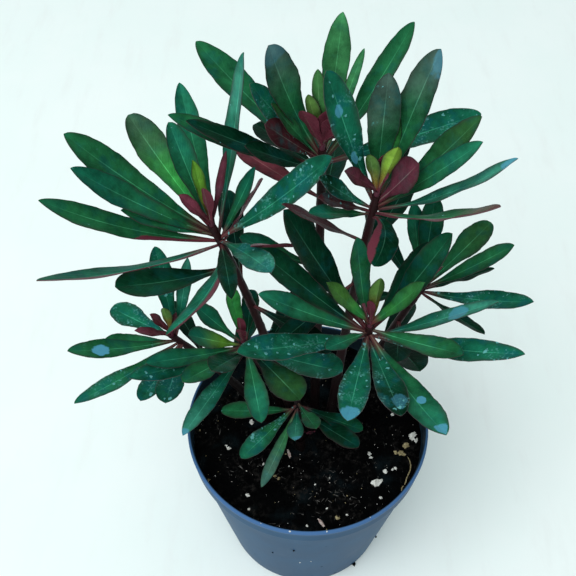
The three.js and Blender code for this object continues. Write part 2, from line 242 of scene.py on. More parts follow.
inside = ramp(tree, maths(tree, "SUBTRACT", wall_radius, radius), -0.0004, 0.0001)
in_collar = times(tree, ramp(tree, height, *COLLAR_FOOT), ramp(tree, radius, *COLLAR_INSIDE))
inside = maths(tree, "MAXIMUM", inside, in_collar)
inside = times(tree, inside, ramp(tree, height, *FLOOR_TOP))
blue = tinted(tree, ramp(tree, clouds, 0.35, 0.7), POT_BLUE, POT_BLUE_WORN)
blue = tinted(tree, times(tree, streaks, 0.25), blue, POT_BLUE_WORN)
blue = tinted(tree, times(tree, scuffs, 0.15), blue, POT_SCUFF)
# Painted highlight: the lip is painted paler towards the front, where it catches the light.
lit_front_of_lip = ramp(tree, axes.outputs["Y"], -0.005, -0.05, 0.2, 0.8)
blue = tinted(tree, times(tree, lip, lit_front_of_lip), blue, POT_LIP_HIGHLIGHT)
# Painted shade: the inside of the wall and collar, above the floor, is painted near black.
blue = tinted(tree, times(tree, inside, 0.93), blue, POT_INSIDE_SHADE)
blue = tinted(tree, times(tree, specks, 0.85), blue, SPLASHED_SOIL)
tree.links.new(blue, shader.inputs["Base Color"])
gloss = maths(tree, "MULTIPLY_ADD", clouds, 0.22, 0.3)
gloss = maths(tree, "ADD", gloss, times(tree, specks, 0.4))
tree.links.new(gloss, shader.inputs["Roughness"])
relief = maths(tree, "MULTIPLY_ADD", specks, 1.6, times(tree, streaks, 0.35))
bumped(tree, shader, relief, distance=0.00025, strength=0.6)
pot.data.materials.clear()
pot.data.materials.append(pot_plastic)

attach(pot, "root")
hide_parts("pot")

# ---- Compost bed --------------------------------------------------------------------------------
# Damp peat compost that fills the pot to 11 mm under its lip. It is turned like the pot, as one
# round body, and its top is then lifted into the clods and crumbs of a watered surface.

SOIL_TOP = 96
SOIL_RELIEF = 1.3
SOIL_REACH = 62
COLLAR_RADIUS = 63.8
BED_SECTION = [(1, 4.2), (44.5, 4.2), (60.1, 92.5), (61.7, 96)]
BED_RINGS = 54
BED_SIDES = 144


def mound(x, y):
    """The height of the compost above its mean level, in millimetres."""
    fade = 1 - min(1, math.hypot(x, y) / COLLAR_RADIUS) ** 6
    mounds = math.sin(x * 0.17 + 1.3) * math.cos(y * 0.21) + 0.6 * math.sin(x * 0.39 - y * 0.33)
    return SOIL_RELIEF * fade * mounds


def crumbled(x, y):
    """The height of the compost at a point, with its clods and crumbs, in millimetres."""
    clods = noise.fractal((x * 0.09, y * 0.09, 3.1), 0.9, 2.1, 3)
    crumbs = noise.fractal((x * 0.34, y * 0.34, 8.7), 0.7, 2.2, 3)
    return SOIL_TOP - 0.2 + mound(x, y) + 0.8 * clods + 0.9 * crumbs


bed_rings = list(BED_SECTION)
for ring in range(BED_RINGS):
    bed_rings.append((SOIL_REACH * (1 - ring / BED_RINGS) + 0.15, SOIL_TOP + 0.4))
bed = lofted("compost_bed", [(0, 0, z, radius) for radius, z in bed_rings], sides=BED_SIDES)
for vertex in bed.data.vertices:
    x, y, z = vertex.co / MM
    if z > SOIL_TOP + 0.2:
        vertex.co.z = crumbled(x, y) * MM
smoothed(bed, degrees=60)

PEAT = (0.0006, 0.0007, 0.0009, 1)
PEAT_BROWN = (0.017, 0.015, 0.014, 1)
PEAT_BLUE = (0.004, 0.008, 0.010, 1)
PEAT_DUST = (0.24, 0.23, 0.21, 1)
PEAT_GRIT_AND_GLINT = (0.25, 0.24, 0.22, 1)

peat, tree, shader, place = new_material("damp peat", roughness=0.8, specular=0.03)
fibres = grains(tree, drawn_out(tree, place, (1, 0.25, 1), 0.7), 700, 5, 0.7, 1.2)
crumbs = grains(tree, place, 330, 6, 0.75)
pebbles = pebbled(tree, place, 520)
dark = tinted(tree, ramp(tree, grains(tree, place, 48, 3), 0.5, 0.68), PEAT, PEAT_BLUE)
drier = ramp(tree, grains(tree, place, 60, 2), 0.42, 0.6)
drier = times(tree, ramp(tree, crumbs, 0.48, 0.66), drier)
dark = tinted(tree, drier, dark, PEAT_BROWN)
hairs = ramp(tree, grains(tree, place, 75, 2), 0.5, 0.62)
hairs = times(tree, ramp(tree, fibres, 0.62, 0.72), hairs)
dark = tinted(tree, times(tree, hairs, 0.6), dark, PEAT_DUST)
# Pale specks: partly real grit, partly painted glints where the damp peat catches the light.
grit_and_glints = ramp(tree, pebbled(tree, place, 380), 0.15, 0.08)
grit_and_glints = times(tree, grit_and_glints, ramp(tree, grains(tree, place, 150), 0.56, 0.62))
dark = tinted(tree, times(tree, grit_and_glints, 0.7), dark, PEAT_GRIT_AND_GLINT)
tree.links.new(dark, shader.inputs["Base Color"])
tree.links.new(ramp(tree, crumbs, 0.3, 0.7, 0.95, 0.55), shader.inputs["Roughness"])
relief = maths(tree, "MULTIPLY_ADD", pebbles, -0.6, maths(tree, "ADD", crumbs, fibres))
bumped(tree, shader, relief, distance=0.0011, strength=0.9)
bed.data.materials.clear()
bed.data.materials.append(peat)

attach(bed, "root")
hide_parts("soil")

# ---- Loose crumbs of peat -----------------------------------------------------------------------
# Crumbs of peat, from 1 to 5 mm across, that lie pressed into the surface. Five lumps are
# modelled, and copied about the bed, each copy at its own size and turn.


def lump(name, roughness, seed):
    """An irregular lump two units across, with a few dozen faces."""
    bpy.ops.object.select_all(action="DESELECT")
    bpy.ops.mesh.primitive_ico_sphere_add(subdivisions=2, radius=1)
    piece = bpy.context.object
    piece.name = name
    for vertex in piece.data.vertices:
        swell = noise.noise(vertex.co * 1.3 + Vector((seed, 0, 0)))
        vertex.co *= 1 + roughness * swell
        vertex.co.z *= 0.7
    return piece


def scattered(name, patterns, spots, material):
    """Copies of the patterns, one to each spot of (x, y, z, size, turn), joined as one piece."""
    copies = []
    for number, (x, y, z, size, turn) in enumerate(spots):
        pattern = patterns[number % len(patterns)]
        copy = pattern.copy()
        copy.data = pattern.data.copy()
        bpy.context.collection.objects.link(copy)
        copy.scale = (size * MM, size * MM * 0.8, size * MM * 0.8)
        copy.rotation_euler = (0.5 * math.sin(turn * 3), 0.5 * math.cos(turn * 5), turn)
        copy.location = (x * MM, y * MM, z * MM)
        copies.append(copy)
    picked(copies)
    bpy.ops.object.transform_apply(location=True, rotation=True, scale=True)
    bpy.ops.object.join()
    piece = bpy.context.object
    piece.name = name
    piece.data.materials.clear()
    piece.data.materials.append(material)
    smoothed(piece, degrees=45)
    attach(piece, "root")


bed_surface = BVHTree.FromPolygons(
    [vertex.co for vertex in bed.data.vertices], [face.vertices for face in bed.data.polygons]
)


def bed_top(x, y):
    """The height of the bed's own surface at a point, in millimetres."""
    return bed_surface.ray_cast(Vector((x, y, 2 * SOIL_TOP)) * MM, Vector((0, 0, -1)))[0].z / MM


LITTER_REACH = 60


def on_bed(draw, count, small, large, sink):
    """Spots spread over the bed, most of them small, each sunk a share of its size."""
    spots = []
    while len(spots) < count:
        x = draw.uniform(-LITTER_REACH, LITTER_REACH)
        y = draw.uniform(-LITTER_REACH, LITTER_REACH)
        if math.hypot(x, y) < LITTER_REACH:
            size = small + (large - small) * draw.random() ** 3
            spots.append((x, y, bed_top(x, y) - sink * size, size, draw.uniform(0, math.tau)))
    return spots


lumps = [lump(f"lump_{seed}", roughness=0.75, seed=seed * 3.7) for seed in range(5)]
crumb_spots = on_bed(random.Random(11), count=1100, small=0.4, large=2.6, sink=0.25)
scattered("peat_crumbs", lumps, crumb_spots, peat)

# ---- Pale bits in the compost -------------------------------------------------------------------
# Perlite, bits of shell and chips of straw-coloured bark that were mixed in and lie bright on the
# dark peat. The larger ones lie where they show from the front, and dust-sized ones all over.

PERLITE_SPOTS = [  # x, y, size, turn
    (58.6, -2.2, 1.9, 0.3), (57.4, -4.6, 1.5, 1.9), (59.2, -6.2, 1.2, 4.0),
    (56.2, -2.6, 1.0, 2.2), (36.2, -31.9, 2.3, 0.2), (38.4, -31.0, 1.3, 2.9),
    (40.9, -25.4, 1.5, 0.5), (45.0, -23.9, 0.9, 1.2), (46.6, -23.2, 0.8, 2.0),
    (37.8, -39.9, 0.9, 0.0), (33.1, -13.5, 1.5, 1.3), (33.9, -16.2, 1.0, 0.4),
    (-31.6, -38.8, 1.0, 0.0), (-30.9, -46.1, 0.7, 1.0), (-31.2, 5.3, 1.9, 0.7),
    (-1.0, -56.0, 0.7, 2.0), (9.5, -46.1, 0.5, 0.4), (19.7, -50.0, 0.7, 0.4),
    (21.5, -41.0, 0.6, 1.4), (3.5, -33.0, 0.5, 0.9), (-24.0, -20.0, 0.6, 1.5),
    (47.5, 10.0, 0.9, 0.2), (-43.0, -10.5, 1.1, 2.6), (-44.5, -9.0, 0.8, 0.6),
]
CHIP_SPOTS = [
    (53.3, -9.4, 1.9, 0.5), (50.6, -13.6, 1.6, 1.0), (47.6, -13.0, 1.2, 2.3),
    (52.0, -14.9, 1.2, 0.2), (14.5, -51.1, 1.3, 0.4), (-52.4, -30.1, 1.2, 2.4),
    (-17.6, -27.2, 1.0, 1.1), (-15.8, -28.6, 0.8, 0.6),
]


def laid(spots, sink, lift=0.3):
    """Spots of (x, y, size, turn) set on the bed, sunk a share of their size and then lifted."""
    return [(x, y, bed_top(x, y) - sink * size + lift, size, turn) for x, y, size, turn in spots]


PERLITE_WHITE = (0.75, 0.74, 0.7, 1)
PERLITE_STAIN = (0.24, 0.2, 0.16, 1)
BARK_BROWN = (0.16, 0.12, 0.05, 1)
BARK_STRAW = (0.50, 0.42, 0.24, 1)

perlite, tree, shader, place = new_material("perlite", roughness=0.75, specular=0.3)
pores = grains(tree, place, 1500, 4, 0.7)
stain = ramp(tree, grains(tree, place, 420, 3), 0.45, 0.7)
white = tinted(tree, times(tree, stain, 0.45), PERLITE_WHITE, PERLITE_STAIN)
tree.links.new(white, shader.inputs["Base Color"])
bumped(tree, shader, pores, distance=0.0004)

bark, tree, shader, place = new_material("bark chips", roughness=0.7, specular=0.3)
flakes = grains(tree, place, 900, 4, 0.7, 0.8)
straw = tinted(tree, ramp(tree, flakes, 0.35, 0.7), BARK_BROWN, BARK_STRAW)
tree.links.new(straw, shader.inputs["Base Color"])
bumped(tree, shader, flakes, distance=0.0005)

rough_lumps = [lump(f"grain_{seed}", roughness=1.1, seed=40 + seed * 2.9) for seed in range(4)]
perlite_dust = on_bed(random.Random(5), count=110, small=0.12, large=0.42, sink=0)
scattered("perlite_bits", rough_lumps, laid(PERLITE_SPOTS, sink=0.2) + perlite_dust, perlite)
bark_dust = on_bed(random.Random(9), count=70, small=0.15, large=0.6, sink=0)
scattered("bark_chips", rough_lumps, laid(CHIP_SPOTS, sink=0.2) + bark_dust, bark)

# ---- Threads, splinters and dry scales ----------------------------------------------------------
# Litter on the compost: a loose root thread, drawn along a line of points, and straw, dry scales
# and bits of a fallen red leaf, which are flattened lumps. Grit and crumbs of wet peat have stuck
# to the pot's lip and wall.

THREAD_LINE = [  # x and y, from its end near the chips to its end by the wall
    (53.6, -16.5), (54.6, -18.6), (55.0, -21.0), (54.6, -23.6), (53.4, -26.2), (52.2, -28.6),
    (51.6, -30.6), (50.6, -32.6), (49.3, -34.0), (49.0, -35.6),
]
THREAD_TIP = (48.6, -36.4, 96.2, 0.06)
THREAD_RADIUS = 0.3
THREAD_LIFT = 0.2
SPLINTER_SPOTS = [  # x, y, size, turn, as for the scales and the fallen leaf
    (-18.4, -54.4, 2.6, 3.3), (-15.9, -55.2, 1.3, 0.4), (-48.1, -0.5, 2.4, 1.5),
    (11.5, -29.0, 2.0, 0.7), (13.9, -30.4, 1.6, 2.2), (8.4, -27.2, 1.5, 1.2),
    (15.6, -36.6, 1.4, 2.8), (22.4, -27.6, 1.6, 2.4), (24.0, -30.2, 1.3, 0.5),
    (6.9, -44.4, 1.9, 1.4), (4.6, -42.6, 1.2, 1.8), (9.4, -40.8, 1.3, 0.9),
    (-13.4, -27.8, 1.6, 2.9), (-15.4, -25.4, 1.3, 0.3), (26.5, -42.0, 1.2, 2.0),
    (-38.5, -22.5, 1.6, 2.3), (-41.8, -26.5, 1.3, 2.0), (-27.0, -17.5, 1.3, 2.6),
    (1.5, -37.5, 1.2, 0.1), (31.0, 4.0, 1.8, 1.9),
]
FIBRE_TUFTS = [  # x, y
    (11.5, -29.0), (13.9, -37.1), (6.9, -44.4), (21.6, -41.0), (23.0, -28.5), (-13.5, -27.0),
    (-40.0, -24.5), (-28.0, -15.0), (33.0, -19.0), (3.0, -36.5), (16.0, -33.0), (-3.0, -48.0),
]
STRANDS_IN_TUFT = 8
TUFT_SPREAD = 2.6
SCALE_SPOTS = [(6.4, -54.4, 2.6, 2.2), (-10.2, -15.3, 2.3, 1.9)]
FALLEN_SPOTS = [(1.4, -2.3, 2.6, 0.3), (-1.6, -1.4, 1.6, 1.2)]
LIP_GRIT = [  # x, y, z, size, turn
    (-9.7, -63.6, 106.95, 0.45, 0.2), (8.6, -63.7, 106.95, 0.45, 1.4),
    (-24.2, -59.4, 106.9, 0.3, 2.0), (-4.0, -53.8, 44.8, 0.4, 0.8), (2.0, -54.3, 47.6, 0.35, 2.5),
    (30.5, -56.2, 106.9, 0.3, 0.6),
]
WALL_CRUMBS = [
    (-18.9, -52.2, 55.0, 0.6, 0.3), (-7.5, -57.8, 70.6, 0.75, 1.0), (29.0, -36.7, 2.4, 1.5, 2.1),
    (27.6, -37.6, 4.4, 0.8, 0.9), (41.3, -28.9, 23.0, 0.7, 1.7), (24.0, -58.8, 100.5, 0.35, 0.1),
]


def flattened(name, width, seed):
    """A thin lump, two units long."""
    piece = lump(name, 0.6, seed)
    for vertex in piece.data.vertices:
        vertex.co.y *= width
        vertex.co.z = vertex.co.z * 0.25 + 0.12 * vertex.co.x**2
    return piece


def litter_skin(name, roughness, scale, tones):
    """The dull, two-toned skin of something small and dry."""
    material, tree, shader, place = new_material(name, roughness, 0.2)
    tone = tinted(tree, ramp(tree, grains(tree, place, scale, 3), 0.35, 0.7), *tones)
    tree.links.new(tone, shader.inputs["Base Color"])
    return material


STRAW_TONES = ((0.015, 0.015, 0.015, 1), (0.15, 0.14, 0.13, 1))
WITHERED_TONES = ((0.36, 0.24, 0.22, 1), (0.6, 0.54, 0.5, 1))
FALLEN_TONES = ((0.02, 0.002, 0.006, 1), (0.1, 0.012, 0.03, 1))

straw_skin = litter_skin("straw", roughness=0.7, scale=300, tones=STRAW_TONES)
withered = litter_skin("withered leaf", roughness=0.6, scale=700, tones=WITHERED_TONES)
fallen = litter_skin("fallen red leaf", roughness=0.5, scale=600, tones=FALLEN_TONES)

draw = random.Random(21)
fibre_spots = []
for x, y in FIBRE_TUFTS:
    for _ in range(STRANDS_IN_TUFT):
        spot = (draw.gauss(x, TUFT_SPREAD), draw.gauss(y, TUFT_SPREAD))
        fibre_spots.append((*spot, draw.uniform(0.4, 1.8), draw.uniform(0, math.tau)))
thread_rings = []
for rank, (x, y) in enumerate(THREAD_LINE):
    radius = min(0.1 + 0.1 * rank, THREAD_RADIUS)
    thread_rings.append((x, y, bed_top(x, y) + THREAD_LIFT, radius))
thread = lofted("root_thread", [*thread_rings, THREAD_TIP], sides=6)
thread.data.materials.append(bark)
smoothed(thread, degrees=60)
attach(thread, "root")
slivers = [flattened(f"sliver_{seed}", width=0.09, seed=60 + seed * 3.1) for seed in range(3)]
scales = [flattened(f"scale_{seed}", width=0.4, seed=80 + seed * 3.1) for seed in range(2)]
splinter_spots = laid(SPLINTER_SPOTS + fibre_spots, sink=0, lift=0.08)
scattered("straw_splinters", slivers, splinter_spots, straw_skin)
scattered("dry_scales", scales, laid(SCALE_SPOTS, sink=0), withered)
scattered("fallen_leaf", scales, laid(FALLEN_SPOTS, sink=0), fallen)
scattered("lip_grit", rough_lumps, LIP_GRIT, perlite)
scattered("wall_crumbs", lumps, WALL_CRUMBS, peat)
for pattern in lumps + rough_lumps + slivers + scales:
    bpy.data.objects.remove(pattern)

# ---- Left stem ----------------------------------------------------------------------------------
# A woody burgundy stalk, 5.4 mm thick at its foot, with a whorl of narrow leaves round its top and
# a crown of small young ones on its end. The stalk is turned ring by ring along its line, and each
# leaf is a copy of one blank blade, bent along its own midrib.

STEM_DEPTH = 24
STRAIGHT_FOOT = 9
STEM_FOOT_RADIUS = 2.7
STEM_TOP_RADIUS = 1.9
LEAN_BEGINS = 0.12
BEND_OUT = 0.35
BEND_UP = 0.55
STALK_RING_SPACING = 2.6
LEAF_SCAR = 0.13
WHORL_START, WHORL_SPACING = 2, 0.7
LOWER_START, LOWER_SPACING = 26, 14
LEAF_FOLD = math.radians(12)
GROWN_FOOT = (1.45, 0.12)  # mm out from the stem's line, and width as a share of the widest
LEAF_STRIDES = 96

JADE = (0.014, 0.150, 0.080)
TEAL = (0.007, 0.108, 0.060)
SEA = (0.032, 0.195, 0.132)
GREEN = (0.013, 0.110, 0.040)
DARK = (0.005, 0.062, 0.027)
# Painted shade in the next two: a dark green darkened further for the leaves inside the clump, and
# a darker one for the leaves deepest in its shade.
DEEP_SHADED_GREEN = (0.001, 0.021, 0.009)
SHADED = (0.001, 0.009, 0.004)
PALE = (0.046, 0.215, 0.075)
FRESH = (0.028, 0.140, 0.036)
# Painted light: a brighter copy of the bright green, for bright leaves that sit in shade.
BRIGHT_LIT = (0.042, 0.310, 0.064)
BRONZED = (0.046, 0.112, 0.060)
BRIGHT = (0.030, 0.185, 0.042)
LIME = (0.125, 0.300, 0.030)
DULL_LIME = (0.056, 0.160, 0.030)
OLIVE = (0.020, 0.078, 0.022)
PLUM = (0.052, 0.092, 0.074)
AMBER = (0.150, 0.120, 0.020)
GREY = (0.066, 0.150, 0.108)
ROSE = (0.260, 0.052, 0.088)
BURGUNDY = (0.105, 0.023, 0.040)
CRIMSON = (0.190, 0.038, 0.056)
MAROON = (0.055, 0.011, 0.016)
WINE = (0.062, 0.013, 0.020)

# Each finish is its colour at the base and at the tip, how far along the second takes over, its
# wetness, how red its foot and its underside are, and which side is flushed red: 1 for the left,
# -1 for the right, or less where only the lower part of that side is.
LEAF_FINISHES = {
    "jade": (GREEN, JADE, 0.6, 0.3, 0.8, 0.3, 0),
    "dewy jade": (GREEN, JADE, 0.6, 0.85, 0.8, 0.3, 0),
    "teal": (GREEN, TEAL, 0.6, 0.3, 0.8, 0.3, 0),
    "dewy teal": (TEAL, TEAL, 0.6, 1.0, 0.8, 0.3, 0),
    "sea": (TEAL, SEA, 0.6, 0.55, 0.8, 0.2, 0),
    "dewy sea": (TEAL, SEA, 0.6, 1.0, 0.8, 0.2, 0),
    "green": (GREEN, GREEN, 0.6, 0.35, 0.6, 0.4, 0),
    "pale green": (PALE, PALE, 0.6, 0.2, 0.8, 0.2, 0),
    "grey-green": (PALE, GREY, 0.5, 0.5, 0.8, 0.2, 0),
    "bright": (BRIGHT, BRIGHT, 0.6, 0.2, 0.9, 0.1, 0),
    "fresh": (BRIGHT, FRESH, 0.6, 0.1, 0.9, 0.0, 0),
    "spring": (BRIGHT_LIT, BRIGHT_LIT, 0.6, 0.1, 0.9, 0.0, 0),
    "deep teal": (DEEP_SHADED_GREEN, DARK, 0.5, 0.3, 0.8, 0.4, 0),
    "deep": (DEEP_SHADED_GREEN, DEEP_SHADED_GREEN, 0.6, 0.2, 0.8, 0.4, 0),
    "dewy deep": (TEAL, DEEP_SHADED_GREEN, 0.6, 1.0, 0.8, 0.4, 0),
    "shaded": (SHADED, DEEP_SHADED_GREEN, 0.8, 0.15, 0.8, 0.3, 0),
    "olive": (GREEN, OLIVE, 0.6, 0.2, 0.6, 0.4, 0),
    "olive spoon": (DEEP_SHADED_GREEN, OLIVE, 0.6, 0.2, 0.8, 0.3, 0),
    "plum tip": (GREEN, PLUM, 0.72, 0.3, 0.8, 0.4, 0),
    "green to plum": (GREEN, PLUM, 0.62, 0.45, 0.8, 0.4, 0),
    "plum over bright": (BRIGHT_LIT, BRONZED, 0.66, 0.2, 1.0, 0.4, 0),
    "red-left green": (GREEN, GREEN, 0.6, 0.2, 1.0, 0.9, 0.45),
    "red-left teal": (TEAL, TEAL, 0.6, 0.4, 1.0, 0.9, 1),
    "red-right green": (GREEN, CRIMSON, 0.85, 0.3, 1.0, 0.9, -1),
    "crimson-sided": (DEEP_SHADED_GREEN, DEEP_SHADED_GREEN, 0.6, 0.3, 0.9, 1.0, -1),
    "lime": (AMBER, LIME, 0.45, 0.0, 0.9, 0.0, 0),
    "olive lime": (AMBER, DULL_LIME, 0.45, 0.0, 0.9, 0.0, 0),
    "lime to teal": (LIME, TEAL, 0.66, 0.2, 0.8, 0.1, 0),
    "lime over green": (BRIGHT_LIT, DULL_LIME, 0.4, 0.1, 0.9, 0.0, 0),
    "rose": (CRIMSON, ROSE, 0.5, 0.0, 0.4, 1.0, 0),
    "rosy": (BURGUNDY, ROSE, 0.6, 0.5, 1.0, 1.0, 0),
    "burgundy": (BURGUNDY, BURGUNDY, 0.6, 0.1, 0.5, 1.0, 0),
    "crimson": (CRIMSON, CRIMSON, 0.6, 0.2, 0.5, 1.0, 0),
    "maroon": (MAROON, MAROON, 0.6, 0.5, 1.0, 0.9, 0),
    "wine": (WINE, WINE, 0.6, 0.1, 1.0, 1.0, 0),
}


def stem_line(foot, top, share):
    """A point on a stem's line, in millimetres: upright at first, then leaning to its top."""
    foot = Vector((*foot, SOIL_TOP))
    top = Vector(top)
    bend = foot.lerp(top, BEND_OUT)
    bend.z = foot.z + (top.z - foot.z) * BEND_UP
    return foot * (1 - share) ** 2 + bend * 2 * share * (1 - share) + top * share**2


def below_top(foot, top, below):
    """The point on a stem's line that lies a distance below its top, along the line."""
    points = [stem_line(foot, top, step / 400) for step in range(401)]
    walked = 0
    for after, before in zip(points[::-1], points[-2::-1]):
        walked += (after - before).length
        if walked >= below:
            return before
    return points[0]


def stalk(name, foot, top):
    """The stalk: upright out of the bottom of its hole, then tapering along its line."""
    rings = [
        (*foot, SOIL_TOP - STEM_DEPTH + 0.4, STEM_FOOT_RADIUS * 0.95),
        (*foot, SOIL_TOP - 2, STEM_FOOT_RADIUS),
        (*foot, SOIL_TOP + 0.6 * STRAIGHT_FOOT, STEM_FOOT_RADIUS),
        (*foot, SOIL_TOP + STRAIGHT_FOOT, STEM_FOOT_RADIUS * 0.98),
    ]
    steps = int((top[2] - SOIL_TOP) / STALK_RING_SPACING)
    for step in range(1, steps + 1):
        share = LEAN_BEGINS + (1 - LEAN_BEGINS) * step / steps
        radius = STEM_FOOT_RADIUS + (STEM_TOP_RADIUS - STEM_FOOT_RADIUS) * share
        scar = LEAF_SCAR * max(0, math.sin(step * 1.9 + foot[0])) ** 6
        rings.append((*stem_line(foot, top, share), radius * (0.95 + scar)))
    rings.append((*(stem_line(foot, top, 1) + Vector((0, 0, 0.15))), STEM_TOP_RADIUS * 0.6))
    return lofted(name, rings, sides=14)


# The blank blade is a flat slab. For each of its points, ACROSS runs from -1 to 1 between the
# leaf's edges, ALONG from 0 at the foot to 1 at the tip, and FACE is 1 above and -1 below.
bpy.ops.object.select_all(action="DESELECT")
bpy.ops.mesh.primitive_grid_add(x_subdivisions=12, y_subdivisions=38, size=2, location=(0, 0, 0))
blank = bpy.context.object
blank.name = "blank_blade"
thickness = blank.modifiers.new("thickness", "SOLIDIFY")
thickness.thickness = 0.2
thickness.offset = 0
bpy.ops.object.modifier_apply(modifier=thickness.name)
blank_points = np.empty(len(blank.data.vertices) * 3)
blank.data.vertices.foreach_get("co", blank_points)
blank_points = blank_points.reshape(-1, 3)
ACROSS = np.sign(blank_points[:, 0]) * np.abs(np.clip(blank_points[:, 0], -1, 1)) ** 1.5
ALONG = 1 - (1 - np.clip(blank_points[:, 1] * 0.5 + 0.5, 0, 1)) ** 1.25
FACE = np.sign(blank_points[:, 2])
blank.data.attributes.new("place_on_leaf", "FLOAT_VECTOR", "POINT")
for attribute in ("base_colour", "tip_colour", "traits", "pool", "second_pool"):
    blank.data.attributes.new(attribute, "FLOAT_COLOR", "POINT")
blank.data.attributes.new("turning", "FLOAT", "POINT")


def outline(along, slimness, foot_share):
    """A blade's half-width along its length, as a share of the widest. Broad blades end blunt."""
    belly = min(max(1.9 + (slimness - 0.2) * 4, 1.7), 2.4)
    blunt = min(max(0.6 - (slimness - 0.18) * 2.2, 0.42), 0.62) if foot_share < 0.2 else 0.72
    power = np.where(along > 0.5 ** (1 / belly), blunt, 0.78)
    blade = np.abs(np.sin(np.pi * along**belly)) ** power
    petiole = 1 - along**8
    return foot_share * petiole + (1 - foot_share) * blade


def eased(values, low, high):
    """A smooth step from 0 to 1."""
    share = np.clip((values - low) / (high - low), 0, 1)
    return share * share * (3 - 2 * share)


NO_POOL = (0, -9, 1, 1, 0)


def leaf(place, row, foot, number, wavy):
    """A copy of the blank blade, bent along the midrib that a row describes."""
    finish, heading, rise, length, width, droop, *bends = row
    roll, sweep, pool, second_pool = (*bends, *(0, 0, NO_POOL, NO_POOL)[len(bends):])
    root, foot_share = foot
    copy = blank.copy()
    copy.data = blank.data.copy()
    bpy.context.collection.objects.link(copy)

    def direction(share):
        turn = np.radians(heading + sweep * share)
        lift = np.radians(rise - droop * share)
        level = np.cos(lift)
        return np.stack([level * np.cos(turn), level * np.sin(turn), np.sin(lift)], -1)

    # The midrib, walked in short strides from the foot, and the directions across and up from it.
    stations = np.linspace(0, 1, LEAF_STRIDES + 1)
    strides = direction((stations[1:] + stations[:-1]) / 2) * length / LEAF_STRIDES
    midrib = np.vstack([np.zeros(3), np.cumsum(strides, 0)])
    ahead = math.radians(heading)
    start = np.array(place) + root * np.array([math.cos(ahead), math.sin(ahead), 0])
    walked = [np.interp(ALONG, stations, midrib[:, axis]) for axis in range(3)]
    centre = start + np.stack(walked, -1)
    along = direction(ALONG)
    across = np.stack([-along[:, 1], along[:, 0], np.zeros(len(along))], -1)
    across /= np.linalg.norm(across, axis=1)[:, None]
    turned = np.radians(roll)
    across = across * math.cos(turned) + np.cross(along, across) * math.sin(turned)
    up = np.cross(along, across)

    # Half the width at each point, waved at the edge, and the height of each face over the midrib.
    half = width / 2 * np.maximum(outline(ALONG, width / length, foot_share), 0.035)
    narrow = 1 - eased(ALONG, 0.04, 0.26)
    side = np.abs(ACROSS)
    beat = ALONG * 23 + np.sign(ACROSS) * 1.7 + number * 2.3
    scallop = 0.5 * np.sin(beat) + 0.35 * np.sin(beat * 2.3 + 1) + 0.25 * np.sin(beat * 4.1)
    half = half * (1 + 0.07 * wavy * scallop * (1 - narrow) * (1 - eased(ALONG, 0.85, 1)))
    fold = half * math.sin(LEAF_FOLD) * side**1.25
    waves = ALONG * (2.1 + 0.5 * math.sin(number)) + 0.31 * number + 0.22 * np.sign(ACROSS)
    ripple = np.sin(math.tau * waves) * side**2 * np.sin(np.pi * ALONG) * wavy
    near_midrib = np.exp(-((side * half / 0.7) ** 2)) * (1 - narrow)
    thick = (0.42 + 0.75 * narrow) * (1 - 0.45 * side) * (1 - 0.4 * eased(ALONG, 0.9, 1))
    height = fold + ripple + FACE * thick / 2
    height -= near_midrib * np.where(FACE > 0, 0.16, 0.30)
    edge = ACROSS * half * math.cos(LEAF_FOLD)
    points = (centre + across * edge[:, None] + up * height[:, None]) * MM
    copy.data.vertices.foreach_set("co", points.ravel())

    # What the leaf's material reads from its points.
    base_colour, tip_colour, turning, wetness, *reds = LEAF_FINISHES[finish]
    foot_red, under_red, red_side = reds
    everywhere = np.ones(len(points))
    flush = np.sign(red_side) * (1 - eased(ALONG, abs(red_side) - 0.1, abs(red_side) + 0.1))
    values = {
        "base_colour": np.column_stack([np.outer(everywhere, base_colour), flush]),
        "tip_colour": np.outer(everywhere, (*tip_colour, pool[4])),
        "traits": np.outer(everywhere, (wetness, foot_red, under_red, (number * 0.37) % 1)),
        "pool": np.outer(everywhere, pool[:4]),
        "second_pool": np.outer(everywhere, second_pool[:4]),
    }
    for name, value in values.items():
        copy.data.attributes[name].data.foreach_set("color", value.ravel())
    copy.data.attributes["turning"].data.foreach_set("value", turning * everywhere)
    upper = np.where(FACE > 0, 1.0, 0.0)
    spot = np.stack([ACROSS, ALONG, upper], -1)
    copy.data.attributes["place_on_leaf"].data.foreach_set("vector", spot.ravel())
    return copy


def joined(name, parts, material, node):
    """The parts as one piece that stands for a CAD node."""
    picked(parts)
    bpy.ops.object.join()
    piece = bpy.context.object
    piece.name = name
    piece.data.materials.clear()
    piece.data.materials.append(material)
    smoothed(piece, degrees=60)
    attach(piece, "root")
    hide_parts(node)


def socketed_group(name, inputs, outputs):
    """An empty shader node group with number inputs and outputs, and its two end nodes."""
    group = bpy.data.node_groups.new(name, "ShaderNodeTree")
    for socket in inputs:
        group.interface.new_socket(socket, in_out="INPUT", socket_type="NodeSocketFloat")
    for socket in outputs:
        group.interface.new_socket(socket, in_out="OUTPUT", socket_type="NodeSocketFloat")
    return group, put(group, "NodeGroupInput"), put(group, "NodeGroupOutput")


